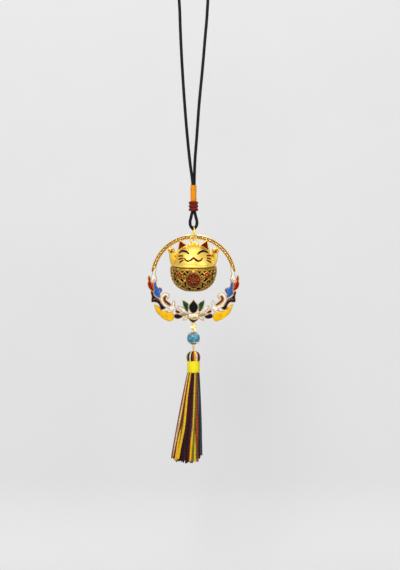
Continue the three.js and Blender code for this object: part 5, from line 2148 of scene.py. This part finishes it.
@dataclass
class Tassel(SubAssembly):
    """The tassel: loop, head, binding and skirt of coloured strands."""

    body: str = "tassel"
    loop_height: float = -243.42 * MM
    loop_radius: float = 0.95 * MM
    loop_thread: float = 0.238 * MM
    loop_shift: float = 0.12 * MM
    loop_root: tuple[float, ...] = (0.0, 0.4 * MM, 0.8 * MM, 1.2 * MM)
    loop_root_radius: float = 0.42 * MM
    head_top: float = -244.82 * MM
    head_radius: float = 4.8 * MM
    head_height: float = 6.2 * MM
    head_strand: float = 0.66 * MM
    head_samples: int = 4
    head_core: float = 0.86
    head_core_drop: float = 0.7 * MM
    drape_turn: float = -1.25
    drape_rise: float = 0.3 * MM
    drape_proud: float = 0.45 * MM
    drape_radius: float = 0.36 * MM
    binding_top: float = -251.07 * MM
    binding_half: tuple[float, float] = (4.3 * MM, 4.3 * MM)
    binding_height: float = 8.0 * MM
    binding_pitch: float = 0.55 * MM
    binding_groove: float = 0.34
    binding_belly: float = 0.1 * MM
    skirt_top: float = -259.12 * MM
    skirt_length: float = 60.0 * MM
    skirt_neck: float = 4.2 * MM
    skirt_width: float = 12.0 * MM
    skirt_depth: float = 6.2 * MM
    skirt_flare: float = 0.9
    skirt_lean: float = -4.6 * MM
    skirt_lap: float = 0.6 * MM
    cut_rise: float = 4.0 * MM
    ragged: float = 0.9 * MM
    gather: float = 0.62
    strand: float = 0.3 * MM
    strand_steps: int = 10
    strand_sides: int = 6
    bunch: int = 7
    overlap: float = 0.62
    filling: int = 70
    filling_half: float = 0.25
    seed: int = 11
    head_front: tuple[str, ...] = (
        "ink", "olive", "ink", "cream", "plum", "brick", "gold", "cream", "maroon", "brick", "maroon")
    head_back: tuple[str, ...] = (
        "gold", "maroon", "cream", "ink", "brick", "lemon", "plum", "olive", "maroon", "gold", "slate")
    head_profile: Drawing = (
        (0.1, 0.02), (0.36, 0.03), (0.62, 0.08), (0.84, 0.22), (0.96, 0.43), (0.98, 0.64), (0.92, 0.86),
        (0.84, 1.02))
    skirt_front: tuple[str, ...] = (
        "brick", "cream", "gold", "brown", "olive", "gold", "ink", "maroon", "plum", "maroon", "ink",
        "maroon", "slate", "gold", "lemon", "olive", "brick", "brown", "grey", "plum", "slate")
    skirt_back: tuple[str, ...] = (
        "maroon", "gold", "plum", "lemon", "brown", "ink", "gold", "maroon", "cream", "olive", "plum",
        "gold", "brick", "maroon", "slate", "gold", "ink", "brown", "lemon", "maroon", "grey")
    # the filling's mostly dark tones are painted shade inside the skirt
    skirt_inside: tuple[str, ...] = ("maroon", "plum", "ink", "brown", "maroon", "ink", "gold")

    def build_loop(self) -> None:
        """Builds the two turns of thread that hang in the pin's foot."""
        skin = Skin()
        for side in Side:
            middle = Vector((side.value * self.loop_shift, 0, self.loop_height))
            ring = circle(middle, Vector((0, self.loop_radius, 0)), Vector((0, 0, self.loop_radius)), 28)
            skin.tube(ring, self.loop_thread, 10, closed=True)
        foot = self.loop_height - self.loop_radius
        root = [Vector((0, 0, foot - step)) for step in self.loop_root]
        skin.tube(root, self.loop_root_radius, 10)
        self.add("loop_thread", skin, STRANDS["gold"], replaced="tassel_loop")

    def head_spot(self, wide: float, fall: float, turn: float, proud: float) -> Vector:
        """Returns a point on the head.

        Args:
            wide: Share of the head's radius.
            fall: Share of its height, from the crown down.
            turn: The angle round it.
            proud: How far the point stands out.

        Returns:
            The point.
        """
        reach = (self.head_radius - self.head_strand) * wide + proud
        height = self.head_top - self.head_strand - self.head_height * fall
        return Vector((reach * math.cos(turn), reach * math.sin(turn), height))

    def build_head(self) -> None:
        """Builds the head from plump strands that run from the crown under the binding, over a dark plum
        core that shows as painted shade between them.
        """
        rng = random.Random(self.seed)
        tones = list(STRANDS)
        skin = Skin()
        for names, facing in ((self.head_front, -1), (self.head_back, 1)):
            for k, tone in enumerate(names):
                turn = facing * math.pi * (1 - (k + 0.5) / len(names))
                proud = rng.uniform(-0.2, 0.0) * MM
                points = [self.head_spot(wide, fall, turn, proud) for wide, fall in self.head_profile]
                plump = self.head_strand * rng.uniform(0.94, 1.06)
                skin.tube(smooth_route(points, self.head_samples), plump, 12, tone=tones.index(tone))
        drape = [Vector((0, 0, self.head_top + self.drape_rise))]
        for wide, fall in self.head_profile[1:6]:
            drape.append(self.head_spot(wide, fall, self.drape_turn, self.drape_proud))
        drape = smooth_route(drape, self.head_samples)
        skin.tube(drape, self.drape_radius, 8, tone=tones.index("gold"))
        # the plum core is painted shade in the gaps between the strands
        crown = self.head_top - self.head_core_drop
        core = [
            (self.head_core * wide * self.head_radius, crown - self.head_height * fall)
            for wide, fall in self.head_profile]
        skin.turned(core, 32, tone=tones.index("plum"))
        self.add("head_strands", skin, *STRANDS.values(), replaced="tassel_head")

    def belly(self, share: float) -> float:
        """Returns how far the binding draws in, which is least at its middle."""
        return self.binding_belly * (1 - math.sin(math.pi * share))

    def build_binding(self) -> None:
        """Builds the yellow binding, wound turn by turn."""
        binding = Winding(
            self.binding_top, self.binding_height, self.binding_half, self.binding_pitch,
            self.binding_groove, self.belly)
        self.add("binding_winding", binding.draw(), YELLOW_THREAD, replaced="tassel_binding")

    def locks(self, rng: random.Random) -> list[Lock]:
        """Returns the skirt's locks: one row over the front, one over the back and the filling."""
        made = []
        for names, facing in ((self.skirt_front, -1), (self.skirt_back, 1)):
            edges = [math.acos(-1 + 2 * k / len(names)) for k in range(len(names) + 1)]
            for tone, first, second in zip(names, edges, edges[1:]):
                made.append(Lock(
                    tone, facing * (first + second) / 2, self.overlap * (first - second),
                    depth=rng.uniform(0.88, 1.0), stray=rng.uniform(-0.16, 0.16),
                    wave=rng.uniform(-1.0, 1.0) * MM, beat=rng.uniform(1.2, 2.6),
                    short=rng.uniform(0.0, 2.6) * MM))
        for _ in range(self.filling):
            made.append(Lock(
                rng.choice(self.skirt_inside), rng.uniform(0, math.tau), self.filling_half,
                depth=rng.uniform(0.2, 0.82), stray=rng.uniform(-0.2, 0.2),
                wave=rng.uniform(-0.6, 0.6) * MM, beat=rng.uniform(1.2, 2.4),
                short=rng.uniform(0.0, 4.0) * MM))
        return made

    def strand_points(self, rng: random.Random, lock: Lock, place: float) -> Route:
        """Returns the hanging line of one strand.

        Args:
            rng: The tassel's own random numbers.
            lock: The lock that the strand belongs to.
            place: Its place in the lock, from -1 to 1.

        Returns:
            The points from the binding to the cut end.
        """
        sag = self.cut_rise * (math.cos(lock.turn) * lock.depth) ** 2
        cut = self.skirt_length - sag - lock.short - self.ragged * rng.uniform(0.0, 1.0)
        depth = lock.depth - 0.05 * abs(place) + rng.uniform(-0.015, 0.015)
        loose = rng.uniform(-0.04, 0.04)
        points = []
        for k in range(self.strand_steps + 1):
            fall = k / self.strand_steps
            share = cut * fall / self.skirt_length
            flare = (self.skirt_width - self.skirt_neck) * share ** self.skirt_flare
            wide = self.skirt_neck + flare - self.strand
            deep = self.skirt_neck + (self.skirt_depth - self.skirt_neck) * share - self.strand
            gather = 1 - self.gather * fall ** 2
            turn = lock.turn + place * lock.half * gather + lock.stray * fall ** 1.5 + loose * fall
            swing = lock.wave * math.sin(math.pi * lock.beat * fall) * fall
            x = wide * depth * math.cos(turn) + self.skirt_lean * share - swing * math.sin(lock.turn)
            y = deep * depth * math.sin(turn) + swing * math.cos(lock.turn)
            points.append(Vector((x, y, self.skirt_top + self.skirt_lap * (1 - fall) - cut * fall)))
        return points

    def build_skirt(self) -> None:
        """Builds the skirt from single strands, in locks of one colour."""
        rng = random.Random(self.seed + 1)
        tones = list(STRANDS)
        skin = Skin()
        for lock in self.locks(rng):
            for k in range(self.bunch):
                place = 2 * (k + 0.5) / self.bunch - 1
                route = smooth_route(self.strand_points(rng, lock, place), 2)
                thick = self.strand * rng.uniform(0.85, 1.1)
                skin.tube(route, thick, self.strand_sides, tone=tones.index(lock.tone))
        self.add("skirt_strands", skin, *STRANDS.values(), replaced="tassel_skirt")

    def build(self) -> None:
        """Builds the tassel from the loop down."""
        self.build_loop()
        self.build_head()
        self.build_binding()
        self.build_skirt()


@dataclass(frozen=True)
class Lamp:
    """One soft square lamp: its place, width, power in watts and colour."""

    name: str
    place: tuple[float, float, float]
    size: float
    power: float
    tint: tuple[float, float, float]

    def build(self, target: Vector) -> None:
        """Builds the lamp so that it points at a target."""
        data = bpy.data.lights.new(self.name, "AREA")
        data.size = self.size
        data.energy = self.power
        data.color = self.tint
        lamp = bpy.data.objects.new(self.name, data)
        lamp.location = self.place
        lamp.rotation_euler = (target - Vector(self.place)).to_track_quat("-Z", "Y").to_euler()
        bpy.context.scene.collection.objects.link(lamp)


@dataclass
class Studio:
    """Camera, lamps, world and the pale paper behind and below the charm."""

    lens: float = 85.0
    sensor: float = 36.0
    near: float = 0.01
    distance: float = 888.25 * MM
    aim: tuple[float, float] = (4.3 * MM, -201.3 * MM)
    paper_back: float = 105.0 * MM
    paper_floor: float = -405.0 * MM
    paper_reach: float = 2.4
    cove: float = 60.0 * MM
    cove_steps: int = 12
    sky: Colour = (0.95, 0.955, 0.97, 1.0)
    sky_lights: float = 0.46
    sky_seen: float = 0.8
    lamps: tuple[Lamp, ...] = (
        Lamp("key", (-0.28, -0.75, 0.42), 0.5, 7.4, (1.0, 0.98, 0.95)),
        Lamp("fill", (0.7, -0.6, -0.1), 0.6, 2.3, (0.95, 0.97, 1.0)),
        Lamp("top", (0.05, 0.02, 0.6), 0.4, 2.0, (1.0, 1.0, 1.0)))

    def build_camera(self) -> None:
        """Sets the camera square in front of the charm."""
        data = bpy.data.cameras.new("camera")
        data.lens = self.lens
        data.sensor_width = self.sensor
        data.clip_start = self.near
        camera = bpy.data.objects.new("camera", data)
        camera.location = (self.aim[0], -self.distance, self.aim[1])
        camera.rotation_euler = (math.pi / 2, 0, 0)
        bpy.context.scene.collection.objects.link(camera)
        bpy.context.scene.camera = camera

    def build_paper(self) -> None:
        """Builds the paper: a floor that curves up into the wall behind."""
        line = [(-self.paper_reach, self.paper_floor)]
        for k in range(self.cove_steps + 1):
            turn = math.pi / 2 * k / self.cove_steps
            y = self.paper_back - self.cove + self.cove * math.sin(turn)
            line.append((y, self.paper_floor + self.cove - self.cove * math.cos(turn)))
        line.append((self.paper_back, self.paper_reach / 2))
        across = (-self.paper_reach / 2, 0.0, self.paper_reach / 2)
        skin = Skin()
        skin.grid([[Vector((x, y, z)) for x in across] for y, z in line], around=False)
        paper = skin.build("studio_paper", PAPER)
        wall = max(paper.data.polygons, key=lambda face: abs(face.normal.y))
        if wall.normal.y > 0:
            paper.data.flip_normals()

    def build_world(self) -> None:
        """Sets a pale world: white where it is seen, softer where it only lights."""
        world = bpy.data.worlds.new("studio")
        world.use_nodes = True
        wiring = Wiring(world.node_tree)
        strength = wiring.span(wiring.looked_at(), 0.0, 1.0, self.sky_lights, self.sky_seen)
        wiring.feed(world.node_tree.nodes["Background"], {"Color": self.sky, "Strength": strength})
        bpy.context.scene.world = world

    def build(self) -> None:
        """Builds the whole studio."""
        bpy.context.scene.view_settings.view_transform = "Standard"
        self.build_camera()
        self.build_world()
        self.build_paper()
        for lamp in self.lamps:
            lamp.build(Vector((self.aim[0], 0, self.aim[1])))


def clear_start_scene() -> None:
    """Takes out what Blender's own start file holds."""
    for name in ("Cube", "Light", "Camera"):
        found = bpy.data.objects.get(name)
        if found:
            bpy.data.objects.remove(found)


def corners(box: tuple[Vector, Vector]) -> list[list[float]]:
    """Turns a box into plain lists of numbers."""
    return [list(corner) for corner in box]


def main() -> None:
    """Builds the studio and the charm in order."""
    logging.basicConfig(level=logging.INFO, format="%(message)s")
    clear_start_scene()
    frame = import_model()
    Studio().build()
    nodes = frame["nodes"]
    for assembly in (HangingCord, JumpRing, HoopWreath, CatHead, CatBody, Drop, Bead, Tassel):
        LOG.info("building %s", assembly.__name__)
        assembly(nodes).build()


if __name__ == "__main__":
    main()
